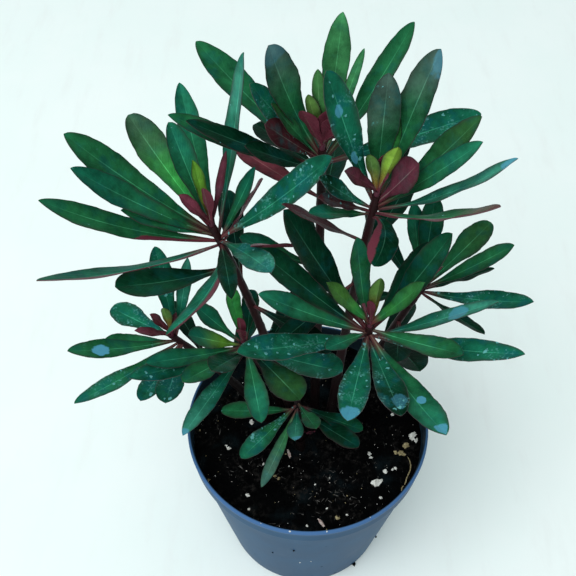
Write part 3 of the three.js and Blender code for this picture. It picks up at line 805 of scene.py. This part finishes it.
# Where the midrib, the side veins, the margin and the foot lie on a blade, as masks.
leaf_marks, start, end = socketed_group(
    "leaf marks", ["Across", "Along", "Shift"], ["Midrib", "Veins", "Margin", "Foot"]
)
across, along = start.outputs["Across"], start.outputs["Along"]
rib_edge = ramp(leaf_marks, along, 0.05, 0.34, 0.28, 0.014)
rib = maths(leaf_marks, "SUBTRACT", across, rib_edge)
rib = ramp(leaf_marks, rib, 0.0, 0.030, 1.0, 0.0)
rib = times(leaf_marks, rib, ramp(leaf_marks, along, 0.62, 0.97, 1.0, 0.15))
row_of_veins = maths(leaf_marks, "MULTIPLY_ADD", along, 12.0, start.outputs["Shift"])
row_of_veins = maths(leaf_marks, "MULTIPLY_ADD", across, -2.4, row_of_veins)
vein = maths(leaf_marks, "PINGPONG", row_of_veins, 0.5)
vein = ramp(leaf_marks, vein, 0.38, 0.49)
vein = times(leaf_marks, vein, ramp(leaf_marks, across, 0.55, 0.95, 1.0, 0.0))
vein = times(leaf_marks, vein, ramp(leaf_marks, along, 0.12, 0.3))
leaf_marks.links.new(rib, end.inputs["Midrib"])
leaf_marks.links.new(vein, end.inputs["Veins"])
leaf_marks.links.new(ramp(leaf_marks, across, 0.93, 0.99), end.inputs["Margin"])
leaf_marks.links.new(ramp(leaf_marks, along, 0.05, 0.23, 1.0, 0.0), end.inputs["Foot"])

# Beads of water and the film between them, as masks: small, and only where the blade is wet.
BEAD_WOBBLE = 0.0016

water_beads, start, end = socketed_group("water beads", ["Wetness"], ["Beads", "Film"])
place = put(water_beads, "ShaderNodeTexCoord").outputs["Object"]
wobble = put(water_beads, "ShaderNodeTexNoise", {"Vector": place, "Scale": 900, "Detail": 2})
shaken = {0: wobble.outputs["Color"], 1: (BEAD_WOBBLE, BEAD_WOBBLE, BEAD_WOBBLE), 2: place}
shaken = put(water_beads, "ShaderNodeVectorMath", shaken, operation="MULTIPLY_ADD").outputs[0]
drops = put(water_beads, "ShaderNodeTexVoronoi", {"Vector": shaken, "Scale": 430})
spread = put(water_beads, "ShaderNodeSeparateColor", {0: drops.outputs["Color"]}).outputs[0]
spread = ramp(water_beads, spread, 0.45, 1.1)
bead = maths(water_beads, "MULTIPLY_ADD", spread, -0.5, drops.outputs["Distance"])
bead = ramp(water_beads, bead, 0.03, -0.05)
patch = grains(water_beads, place, 170, 3)
dry = ramp(water_beads, start.outputs["Wetness"], 0.0, 1.0, 0.70, 0.485)
patch = maths(water_beads, "SUBTRACT", patch, dry)
bead = times(water_beads, bead, ramp(water_beads, patch, 0.0, 0.05))
film = maths(water_beads, "SUBTRACT", grains(water_beads, place, 110, 3), dry)
film = ramp(water_beads, film, 0.02, 0.10)
flecks = ramp(water_beads, grains(water_beads, place, 900, 3, 0.6), 0.50, 0.66)
film = times(water_beads, film, flecks)
water_beads.links.new(bead, end.inputs["Beads"])
water_beads.links.new(film, end.inputs["Film"])

MIDRIB_GREEN = (0.040, 0.115, 0.080, 1)
MARGIN_RED = (0.012, 0.007, 0.008, 1)
MARGIN_WET = (0.10, 0.15, 0.13, 1)
FOOT_RED = (0.125, 0.021, 0.032, 1)
UNDER_PALER = (1.6, 1.15, 1.35, 1)
UNDER_RED = (0.125, 0.024, 0.040, 1)
UNDER_RIB = (0.2, 0.2, 0.14, 1)
VEIN_PALER = (0.03, 0.09, 0.05, 1)
TWICE = (2, 2, 2, 1)
POOL_SKY_REFLECTION = (0.084, 0.32, 0.46, 1)
BEAD_HIGHLIGHT = (0.15, 0.46, 0.46, 1)
WATER_FILM_SHEEN = (0.085, 0.30, 0.27, 1)
WET_BLUE = (0.004, 0.085, 0.095, 1)
BRONZE = (0.040, 0.050, 0.036, 1)
LEAF_SHEEN = (0.15, 0.95, 0.62, 1)


def leaf_material(name, roughness, specular, midrib_strength):
    """Leaf skin: waxy, with a pale midrib, fine red margin, burgundy foot and drops of water
    painted white as highlights.
    """
    material, tree, shader, place = new_material(name, roughness, specular)
    spot = put(tree, "ShaderNodeAttribute", attribute_name="place_on_leaf").outputs["Vector"]
    spot = put(tree, "ShaderNodeSeparateXYZ", {0: spot})
    side, along, upper = spot.outputs
    shader.inputs["Specular Tint"].default_value = LEAF_SHEEN
    traits = put(tree, "ShaderNodeAttribute", attribute_name="traits")
    shift = traits.outputs["Alpha"]
    traits = put(tree, "ShaderNodeSeparateColor", {0: traits.outputs["Color"]})
    wetness, foot_red, under_red = traits.outputs
    across = maths(tree, "ABSOLUTE", side)
    marks = put(tree, "ShaderNodeGroup", node_tree=leaf_marks)
    for socket, value in (("Across", across), ("Along", along), ("Shift", shift)):
        tree.links.new(value, marks.inputs[socket])
    water = put(tree, "ShaderNodeGroup", node_tree=water_beads)
    tree.links.new(wetness, water.inputs["Wetness"])
    upper = ramp(tree, upper, 0.4, 0.9)

    # The blade's own colour, mottled, with painted light along its middle and painted shade towards
    # its foot, and bluer where it is wet.
    broad = grains(tree, place, 55, 3)
    mottle = grains(tree, place, 240, 4, 0.6)
    cells = grains(tree, place, 1400, 2)
    base = put(tree, "ShaderNodeAttribute", attribute_name="base_colour")
    red_side = times(tree, base.outputs["Alpha"], side)
    base = base.outputs["Color"]
    tip = put(tree, "ShaderNodeAttribute", attribute_name="tip_colour")
    pool_reflection_strength = tip.outputs["Alpha"]
    tip = tip.outputs["Color"]
    turning = put(tree, "ShaderNodeAttribute", attribute_name="turning").outputs["Fac"]
    run = maths(tree, "MULTIPLY_ADD", broad, 0.5, maths(tree, "SUBTRACT", along, turning))
    colour = tinted(tree, ramp(tree, run, 0.0, 0.5), base, tip)
    light = maths(tree, "MULTIPLY_ADD", mottle, 1.7, maths(tree, "MULTIPLY_ADD", broad, 2.0, -0.7))
    edge = times(tree, across, across)
    light = times(tree, light, maths(tree, "MULTIPLY_ADD", edge, -0.42, 0.92))
    light = times(tree, light, ramp(tree, along, 0.05, 0.4, 0.65, 1.0))
    light = maths(tree, "MAXIMUM", light, 0.25)
    shade = put(tree, "ShaderNodeCombineColor", {0: light, 1: light, 2: light}).outputs[0]
    colour = tinted(tree, 1.0, colour, shade, "MULTIPLY")
    blotch = times(tree, ramp(tree, grains(tree, place, 130, 3), 0.48, 0.66), 0.7)
    blotch = times(tree, blotch, maths(tree, "MULTIPLY_ADD", wetness, 0.8, 0.1))
    colour = tinted(tree, times(tree, blotch, upper), colour, WET_BLUE)
    bronzed = times(tree, ramp(tree, across, 0.55, 1.0), ramp(tree, broad, 0.42, 0.62))
    colour = tinted(tree, times(tree, bronzed, 0.45), colour, BRONZE)

    # Veins, flushed sides, the red foot, the midrib, the margin and the paler underside.
    paler = tinted(tree, 1.0, colour, VEIN_PALER, "ADD")
    colour = tinted(tree, times(tree, marks.outputs["Veins"], 0.07), colour, paler)
    redness = maths(tree, "MULTIPLY_ADD", mottle, 0.5, maths(tree, "SUBTRACT", red_side, 0.35))
    colour = tinted(tree, ramp(tree, redness, 0.2, 0.34), colour, UNDER_RED)
    foot = times(tree, marks.outputs["Foot"], foot_red)
    colour = tinted(tree, foot, colour, FOOT_RED)
    rib = times(tree, marks.outputs["Midrib"], midrib_strength)
    rib = times(tree, rib, maths(tree, "MULTIPLY_ADD", foot, -0.75, 1.0))
    rib = times(tree, rib, ramp(tree, broad, 0.3, 0.7, 0.45, 1.0))
    pale = tinted(tree, 1.0, colour, TWICE, "MULTIPLY")
    pale = tinted(tree, 1.0, pale, MIDRIB_GREEN, "ADD")
    colour = tinted(tree, rib, colour, pale)
    margin = times(tree, marks.outputs["Margin"], 0.8)
    rim = tinted(tree, times(tree, wetness, 0.45), MARGIN_RED, MARGIN_WET)
    colour = tinted(tree, margin, colour, rim)
    under = tinted(tree, 1.0, colour, UNDER_PALER, "MULTIPLY")
    under = tinted(tree, under_red, under, UNDER_RED)
    under = tinted(tree, times(tree, marks.outputs["Midrib"], 0.4), under, UNDER_RIB)
    colour = tinted(tree, maths(tree, "SUBTRACT", 1.0, upper), colour, under)

    # Water, as pools where a row names them, as a film and as beads. The pools are painted pale
    # blue, a painted reflection of the sky; the film is painted paler, a painted sheen; and the
    # beads are painted white, painted highlights.
    pooled = 0.0
    for name in ("pool", "second_pool"):
        pool = put(tree, "ShaderNodeAttribute", attribute_name=name)
        pool_length = pool.outputs["Alpha"]
        pool = put(tree, "ShaderNodeSeparateColor", {0: pool.outputs["Color"]}).outputs
        off_across = maths(tree, "DIVIDE", maths(tree, "SUBTRACT", side, pool[0]), pool[2])
        off_along = maths(tree, "DIVIDE", maths(tree, "SUBTRACT", along, pool[1]), pool_length)
        reach = times(tree, off_across, off_across)
        reach = maths(tree, "MULTIPLY_ADD", off_along, off_along, reach)
        reach = maths(tree, "MULTIPLY_ADD", mottle, 1.8, reach)
        pooled = maths(tree, "MAXIMUM", ramp(tree, reach, 1.9, 1.5), pooled)
    pooled = times(tree, pooled, upper)
    film = times(tree, water.outputs["Film"], upper)
    colour = tinted(tree, times(tree, film, 0.6), colour, WATER_FILM_SHEEN)
    colour = tinted(tree, times(tree, pooled, pool_reflection_strength), colour, POOL_SKY_REFLECTION)
    beads = times(tree, water.outputs["Beads"], upper)
    colour = tinted(tree, times(tree, beads, 0.7), colour, BEAD_HIGHLIGHT)
    tree.links.new(colour, shader.inputs["Base Color"])

    gloss = maths(tree, "MULTIPLY_ADD", mottle, 0.18, roughness - 0.09)
    gloss = maths(tree, "MULTIPLY_ADD", film, -0.2, gloss)
    gloss = maths(tree, "MULTIPLY_ADD", pooled, -0.3, gloss)
    gloss = maths(tree, "MAXIMUM", gloss, 0.08)
    tree.links.new(gloss, shader.inputs["Roughness"])
    relief = maths(tree, "MULTIPLY_ADD", marks.outputs["Veins"], -0.15, times(tree, cells, 0.35))
    relief = maths(tree, "MULTIPLY_ADD", broad, 1.5, relief)
    relief = maths(tree, "MULTIPLY_ADD", beads, 1.2, relief)
    bumped(tree, shader, relief, distance=0.0004, strength=0.8)
    return material


grown_leaf = leaf_material("grown leaf", roughness=0.42, specular=0.10, midrib_strength=0.9)
young_leaf = leaf_material("young leaf", roughness=0.45, specular=0.10, midrib_strength=0.3)

STALK_RED = (0.026, 0.006, 0.008, 1)
STALK_BROWN = (0.012, 0.006, 0.006, 1)
STALK_GREEN = (0.012, 0.014, 0.009, 1)
STALK_FOOT = (0.004, 0.003, 0.003, 1)
STALK_SCAR = (0.06, 0.04, 0.035, 1)

stalk_skin, tree, shader, place = new_material("stalk skin", roughness=0.5, specular=0.12)
streaks = grains(tree, drawn_out(tree, place, (1, 1, 0.18)), 600, 4)
patches = grains(tree, place, 70, 3)
scars = ramp(tree, pebbled(tree, place, 170), 0.16, 0.10)
bark_colour = tinted(tree, ramp(tree, patches, 0.35, 0.7), STALK_RED, STALK_BROWN)
bark_colour = tinted(tree, ramp(tree, streaks, 0.55, 0.75, 0, 0.6), bark_colour, STALK_GREEN)
bark_colour = tinted(tree, times(tree, scars, 0.5), bark_colour, STALK_SCAR)
height = put(tree, "ShaderNodeSeparateXYZ", {0: place}).outputs["Z"]
bark_colour = tinted(tree, ramp(tree, height, 0.2, 0.12, 0.0, 0.8), bark_colour, STALK_FOOT)
tree.links.new(bark_colour, shader.inputs["Base Color"])
tree.links.new(ramp(tree, streaks, 0.3, 0.7, 0.4, 0.62), shader.inputs["Roughness"])
relief = maths(tree, "MULTIPLY_ADD", scars, 1.4, streaks)
bumped(tree, shader, relief, distance=0.00035)

YOUNG_START, YOUNG_SPACING = 1.6, 0.6
YOUNG_FOOT = (0.3, 0.3)
BUD_FOOT = 0.3
BUD_SECTION = [(1.25, 0), (1.3, 1.4), (1.15, 2.8), (0.85, 4.2), (0.5, 5.4), (0.12, 6)]


def crown(name, top, young):
    """A crown: young upright leaves round a folded bud, on a stem's end."""
    x, y, z = top
    z += BUD_FOOT
    bud = lofted(f"bud_{name}", [(x, y, z + up, radius) for radius, up in BUD_SECTION], sides=10)
    count = len(bud.data.vertices)
    for attribute, value in (
        ("base_colour", (*ROSE, 0)),
        ("tip_colour", (*BURGUNDY, 1)),
        ("traits", (0, 1, 1, 0)),
        ("pool", NO_POOL[:4]),
        ("second_pool", NO_POOL[:4]),
    ):
        paint = bud.data.attributes.new(attribute, "FLOAT_COLOR", "POINT")
        paint.data.foreach_set("color", np.tile(value, count))
    spot = bud.data.attributes.new("place_on_leaf", "FLOAT_VECTOR", "POINT")
    spot.data.foreach_set("vector", np.tile((0.5, 0.5, 1), count))
    leaves = []
    for number, row in enumerate(young):
        place = (x, y, z + YOUNG_START + YOUNG_SPACING * number)
        leaves.append(leaf(place, row, YOUNG_FOOT, number + 7, wavy=0.35))
    joined(f"young_leaves_{name}", [*leaves, bud], young_leaf, f"crown_{name}")


def leafy_stem(name, foot, top, whorl, lower=(), young=()):
    """A stalk, the leaves of its whorl and those lower down, and its crown if it has one."""
    cane = stalk(f"stalk_{name}", foot, top)
    joined(cane.name, [cane], stalk_skin, f"stem_{name}")
    leaves = []
    for number, row in enumerate(whorl):
        place = below_top(foot, top, WHORL_START + WHORL_SPACING * number)
        leaves.append(leaf(place, row, GROWN_FOOT, number + len(name), wavy=0.6))
    for number, row in enumerate(lower):
        place = below_top(foot, top, LOWER_START + LOWER_SPACING * number)
        leaves.append(leaf(place, row, GROWN_FOOT, number + 40, wavy=0.45))
    joined(f"leaves_{name}", leaves, grown_leaf, f"stem_{name}")
    if young:
        crown(name, top, young)


# A leaf's row is its finish, heading, rise, length, width, droop, roll, sweep and pools of water.
# Angles are in degrees and lengths in millimetres. A pool is its middle across and along, the
# half-width and half-length that it reaches, all as shares of the leaf, and its strength, which a
# second pool shares: how much of the sky's painted reflection it holds.
leafy_stem(
    "left",
    foot=(-8, 6),
    top=(-43, 9, 250),
    whorl=[
        ("plum over bright", 142, 39, 58, 16, -10),
        ("jade", 133, 61, 50, 11.5, -4),
        ("green", 174, 35, 74, 14.5, -14, -16),
        ("jade", 107, 32, 66, 11, -8),
        ("green", 196, 30, 44, 7.5, -10, -22),
        ("teal", 189, 36, 70, 12, -12, -23),
        ("sea", 58, 70, 82, 11, -6, -28),
        ("dewy teal", 351, 44, 70, 13.5, -10, 32),
        ("teal", 25, 62, 38, 6.5, -4, 21),
        ("dewy sea", 303, 34, 46, 12, 16, 5),
        ("red-left green", 191, 16, 78, 11, -26, -18),
        ("burgundy", 12, 60, 38, 8, -4, -25),
        ("deep", 279, 33, 50, 8, 20),
        ("red-left teal", 214, 7, 84, 12, -26, 26),
        ("red-left teal", 277, 19, 62, 9.5, 16, 30, -50),
    ],
    lower=[
        ("deep teal", 211, 11, 56, 15, -18, -14),
        ("shaded", 100, 20, 50, 12, 10),
        ("shaded", 320, 10, 46, 12, 10),
    ],
    young=[
        ("rose", 201, 60, 24, 6, 0, -41),
        ("lime", 132, 71, 30, 6, -4),
        ("burgundy", 31, 73, 36, 4, -6, 24),
        ("rose", 233, 85, 20, 7, 0),
    ],
)

# ---- Top stem -----------------------------------------------------------------------------------
# The tallest stem, behind the middle, with a dense crown, mostly red, that is just opening. It is
# made as the left stem is. Its topmost grown leaf has a purple-grey tip, with water on it.

leafy_stem(
    "top",
    foot=(4, 12),
    top=(3, 18, 285),
    whorl=[
        ("plum tip", 184, 64, 56, 14.5, -12, -49, 0, (0, 1.0, 1.4, 0.16, 0.18)),
        ("dewy teal", 186, 51, 46, 10, -8, -39, 0, (0, 0.5, 0.9, 0.12, 0.45)),
        ("olive", 200, 57, 38, 6, -4, -41),
        ("maroon", 203, 46, 34, 11, -4, -42),
        ("pale green", 68, 71, 60, 11, -8),
        ("pale green", 69, 18, 54, 5, -6),
        ("green", 38, 41, 64, 11.5, -14),
        ("green", 140, 16, 72, 14, -14, -6, 0, (0.1, 0.34, 0.7, 0.06, 0.5)),
        ("dewy teal", 22, 1, 72, 14.5, -4, 13),
        ("green", 191, 26, 68, 9.5, -12, -26),
        ("deep", 195, 31, 63, 8.5, -8, -28),
        ("deep", 201, 32, 38, 8.5, -8, -30),
        ("deep", 100, -22, 36, 11, -8),
        ("deep", 130, -8, 42, 12, -8),
    ],
    lower=[
        ("crimson", 141, -1, 46, 10.5, -8, -8),
        ("deep", 80, 5, 52, 13, 10),
        ("rosy", 225, 38, 50, 8, 0, 30),
        ("teal", 188, 33, 42, 10.5, -6, -20),
        ("deep", 100, 0, 48, 12, 0),
    ],
    young=[
        ("rose", 213, 67, 24, 8.5, 0, 30),
        ("olive lime", 205, 77, 28, 6.5, 0, 43),
        ("burgundy", 288, 76, 22, 7.5, 0),
        ("wine", 298, 66, 22, 8.5, -2),
        ("wine", 305, 52, 14, 6, 0, -52),
        ("bright", 218, 84, 36, 7, -2, 22),
    ],
)

# ---- Right stem ---------------------------------------------------------------------------------
# The stem right of the middle. Rose and burgundy leaves stand round two lime ones in its crown,
# and one wet blade of its whorl stands up in front of the top stem.

leafy_stem(
    "right",
    foot=(12, 4),
    top=(25, 5, 272),
    whorl=[
        (
            "dewy teal", 162, 68, 62, 13.5, -4, -33, 0,
            (0.25, 0.36, 0.45, 0.05, 0.7), (0.1, 0.72, 0.35, 0.05),
        ),
        ("burgundy", 333, 60, 30, 14, -4, 49),
        ("bright", 55, 74, 40, 8, -4),
        ("plum tip", 29, 76, 70, 14.5, 6, 12, 0, (-0.5, 0.98, 0.9, 0.13, 0.35)),
        ("green to plum", 81, 78, 58, 13, -6),
        ("jade", 339, 48, 58, 9.5, -8, 36),
        ("dewy deep", 201, 43, 34, 7.5, -8, -40),
        ("olive", 352, 52, 62, 11.5, -10, 32),
        ("sea", 341, 26, 66, 8.5, -30, 0, 0, (0, 0.96, 1.2, 0.09, 0.7)),
        ("maroon", 205, 37, 30, 6.5, 0, -19),
        ("red-right green", 329, 14, 58, 11, -34, -18),
        ("teal", 208, 27, 32, 7.5, 0, -10),
        ("deep", 70, 5, 46, 12, -8),
        ("crimson-sided", 297, 41, 36, 12, 60, 0, -60),
    ],
    lower=[
        ("wine", 203, 42, 52, 6.5, -6, -8),
        ("deep", 60, 10, 48, 12, 0),
        ("shaded", 214, -18, 44, 11, 4, -12),
    ],
    young=[
        ("rose", 228, 86, 16, 9.5, 0, 5),
        ("olive lime", 222, 76, 24, 6.5, 0, 22),
        ("burgundy", 215, 51, 26, 7, 4, -50),
        ("lime", 314, 74, 28, 7.5, -2, -35),
        ("burgundy", 300, 84, 20, 6, 0),
    ],
)

# ---- Front stem ---------------------------------------------------------------------------------
# The stem nearest the viewer, its whorl spread flat over the pot. Water has run to the tips of
# some of its lowest blades, and three yellow-green leaves stand in its crown.

leafy_stem(
    "front",
    foot=(24, 2),
    top=(25, -18, 215),
    whorl=[
        ("green", 320, 23, 48, 11, -6, 11),
        ("deep teal", 11, 58, 62, 13, -10, 17),
        ("deep", 160, 54, 72, 15, -8, -18),
        ("green", 121, 72, 48, 10, -4),
        ("teal", 225, 31, 30, 8, 6, -6),
        ("jade", 185, 30, 56, 11, -8, -15),
        ("jade", 292, 3, 68, 14, -24, 0, 0, (0.1, 0.95, 0.75, 0.06, 0.8), (0.3, 0.65, 0.32, 0.035)),
        ("deep teal", 166, 37, 66, 14, -8, -13),
        ("dewy teal", 257, 19, 54, 13, 10, 0, 0, (0, 0.97, 1.1, 0.11, 0.7)),
        ("dewy teal", 328, 20, 74, 11, -16, 13),
        ("dewy teal", 204, 17, 64, 13.5, -6, -8),
        ("deep", 55, 10, 54, 11.5, -8),
        ("sea", 345, 36, 64, 8.5, -8, 0, 0, (0, 0.7, 1, 0.08, 0.5)),
        ("dewy deep", 280, 21, 54, 13, 4, 0, 0, (0.3, 0.86, 0.6, 0.09, 0.3)),
    ],
    young=[
        ("rose", 176, 74, 14, 5, 0),
        ("fresh", 336, 59, 42, 8.5, -6, 39),
        ("lime over green", 183, 53, 34, 8, -4, -29),
        ("olive lime", 335, 87, 30, 7, 0, -46),
        ("rose", 240, 83, 16, 4.5, 0),
    ],
)

# ---- Low left stem ------------------------------------------------------------------------------
# A short side stem that leans out over the pot's left edge. Its leaves are blunt and spoon-like,
# most of them wet, and its crown has four small young leaves.

leafy_stem(
    "low_left",
    foot=(-22, 8),
    top=(-69, 14, 165),
    whorl=[
        ("sea", 60, 67, 46, 7, -4, 30),
        ("dewy teal", 155, 5, 36, 14, -6),
        ("dewy teal", 110, 62, 50, 11, -4),
        ("green", 205, 15, 56, 10.5, -16, -10, 0, (0.1, 0.70, 0.62, 0.09, 1.0)),
        ("green", 188, 5, 36, 10.5, -6, -6),
        ("dewy jade", 224, 2, 62, 9.5, -16),
        ("dewy teal", 249, 6, 42, 11, -10),
        ("dewy teal", 265, 9, 42, 13.5, -10),
    ],
    lower=[
        ("shaded", 120, 5, 44, 11, 10),
        ("deep", 70, 10, 44, 11, 10),
    ],
    young=[
        ("rose", 224, 45, 28, 5, -4, -28),
        ("wine", 5, 77, 16, 3.5, 0, 49),
        ("crimson", 201, 66, 20, 5, 0, -38),
        ("olive lime", 221, 87, 20, 6, 0, 33),
    ],
)

# ---- Middle left stem ---------------------------------------------------------------------------
# A side stem low in front, whose leaves fan out over the compost and the pot's lip. Its crown has
# a green leaf between two small rose ones.

leafy_stem(
    "middle_left",
    foot=(-15, 16),
    top=(-32, -1, 180),
    whorl=[
        ("teal", 167, 44, 31, 10, -6, -9),
        ("lime to teal", 208, 40, 36, 11, -8, -22),
        ("deep", 85, 12, 28, 9, -6),
        ("jade", 280, 13, 48, 11, 6),
        ("green", 226, 14, 40, 11.5, -6),
        ("teal", 204, 13, 50, 10.5, -8, -7),
        ("dewy teal", 328, 17, 54, 16.5, -8, 6),
        ("sea", 239, -2, 60, 9.5, -22, 0, 10, (0, 0.98, 1.2, 0.06, 0.7)),
        ("dewy teal", 208, 11, 60, 11.5, -8, -6),
        ("deep teal", 239, 33, 34, 13, 0, -8),
        ("olive spoon", 305, 17, 42, 17.5, 10),
    ],
    lower=[
        ("shaded", 58, 24, 42, 11, 10),
    ],
    young=[
        ("rose", 260, 74, 14, 5, 0),
        ("spring", 139, 78, 36, 8, -2, -6),
        ("rose", 244, 86, 18, 5, 0),
    ],
)

# ---- Back right stem ----------------------------------------------------------------------------
# A side stem that leans out behind on the right, in the shade of the taller ones. Its crown has
# a small lime leaf between two burgundy ones.

leafy_stem(
    "back_right",
    foot=(22, 14),
    top=(58, 32, 185),
    whorl=[
        ("teal", 115, 64, 44, 10, -4),
        ("green", 351, 41, 52, 10, -10, 19),
        ("olive", 40, 14, 48, 14, -10),
        ("deep teal", 81, 68, 50, 12, -6),
        ("deep", 5, 17, 36, 7, -8, -20),
        ("dewy teal", 327, 20, 60, 10.5, -16, 17),
        ("deep", 312, 4, 40, 8, -8, -15),
        ("deep", 120, 15, 50, 12, -8),
        ("deep", 190, 5, 46, 12, -6),
    ],
    lower=[
        ("shaded", 262, 30, 36, 14, 20),
        ("shaded", 290, 40, 40, 16.5, 20),
        ("shaded", 60, 0, 46, 12, 10),
    ],
    young=[
        ("burgundy", 300, 66, 20, 6, 0),
        ("lime", 180, 74, 18, 5, 0),
        ("burgundy", 30, 80, 20, 5, 0),
    ],
)

# ---- Low front stem -----------------------------------------------------------------------------
# The youngest shoot, 30 mm above the compost in front, with leaves of 22 to 44 mm. It is made as
# the other stems are, and has no crown of its own yet.

leafy_stem(
    "low_front",
    foot=(-4, -10),
    top=(-6, 2, 126),
    whorl=[
        ("green", 292, 23, 26, 9.5, -6),
        ("green", 110, 64, 22, 7, -6),
        ("dewy jade", 229, -2, 42, 11, -8),
        ("deep teal", 333, 2, 36, 10.5, -6),
        ("sea", 266, 19, 26, 9, -4, 0, 0, (0.2, 0.98, 1.1, 0.1, 0.6)),
        ("grey-green", 243, -29, 44, 7, -10),
        ("deep", 318, 8, 40, 11.5, -6),
        ("green", 183, 0, 39, 10.5, -6),
    ],
)
bpy.data.objects.remove(blank)

# ---- Floor, light and camera --------------------------------------------------------------------
# A plain floor, painted pale and brushed dull in places, under an overcast sky's even light and a
# broad, soft lamp, high in front on the left. The camera looks down as in the photograph.

FLOOR_SIZE = 8
FLOOR_PALE = (0.87, 0.93, 0.91, 1)
FLOOR_PALER = (0.90, 0.94, 0.925, 1)
FLOOR_BRUSHED = (0.84, 0.865, 0.85, 1)
SKY_COLOUR = (0.87, 0.98, 0.99, 1)
SKY_STRENGTH = 0.64
LAMP_PLACE = (-0.75, -0.85, 2.0)
LAMP_SIZE = 1.7
LAMP_POWER = 36
LAMP_COLOUR = (0.95, 1.0, 1.0)
CAMERA_PLACE = (-0.0107, -0.2544, 0.5281)
CAMERA_DOWN = 50.5
CAMERA_LENS = 56.25
CAMERA_SENSOR = 36

bpy.ops.object.select_all(action="DESELECT")
bpy.ops.mesh.primitive_plane_add(size=FLOOR_SIZE, location=(0, 0, 0))
floor = bpy.context.object
floor.name = "floor"
floor_paint, tree, shader, place = new_material("pale floor", roughness=0.9, specular=0.1)
wash = grains(tree, place, 9, 4)
brushed = grains(tree, drawn_out(tree, place, (1, 0.2, 1), 0.2), 60, 5, 0.65)
brushed = ramp(tree, brushed, 0.5, 0.75)
paint = tinted(tree, ramp(tree, wash, 0.35, 0.7), FLOOR_PALE, FLOOR_PALER)
paint = tinted(tree, times(tree, brushed, 0.5), paint, FLOOR_BRUSHED)
tree.links.new(paint, shader.inputs["Base Color"])
floor.data.materials.append(floor_paint)

world = bpy.data.worlds.new("soft daylight")
world.use_nodes = True
sky = world.node_tree.nodes["Background"]
sky.inputs["Color"].default_value = SKY_COLOUR
sky.inputs["Strength"].default_value = SKY_STRENGTH
bpy.context.scene.world = world

bpy.ops.object.light_add(type="AREA", location=LAMP_PLACE)
lamp = bpy.context.object
lamp.rotation_euler = (-lamp.location).to_track_quat("-Z", "Y").to_euler()
lamp.data.shape = "SQUARE"
lamp.data.size = LAMP_SIZE
lamp.data.energy = LAMP_POWER
lamp.data.color = LAMP_COLOUR

tilt = math.radians(90 - CAMERA_DOWN)
bpy.ops.object.camera_add(location=CAMERA_PLACE, rotation=(tilt, 0, 0))
camera = bpy.context.object
camera.data.lens = CAMERA_LENS
camera.data.sensor_width = CAMERA_SENSOR
bpy.context.scene.camera = camera
bpy.context.scene.view_settings.view_transform = "Standard"
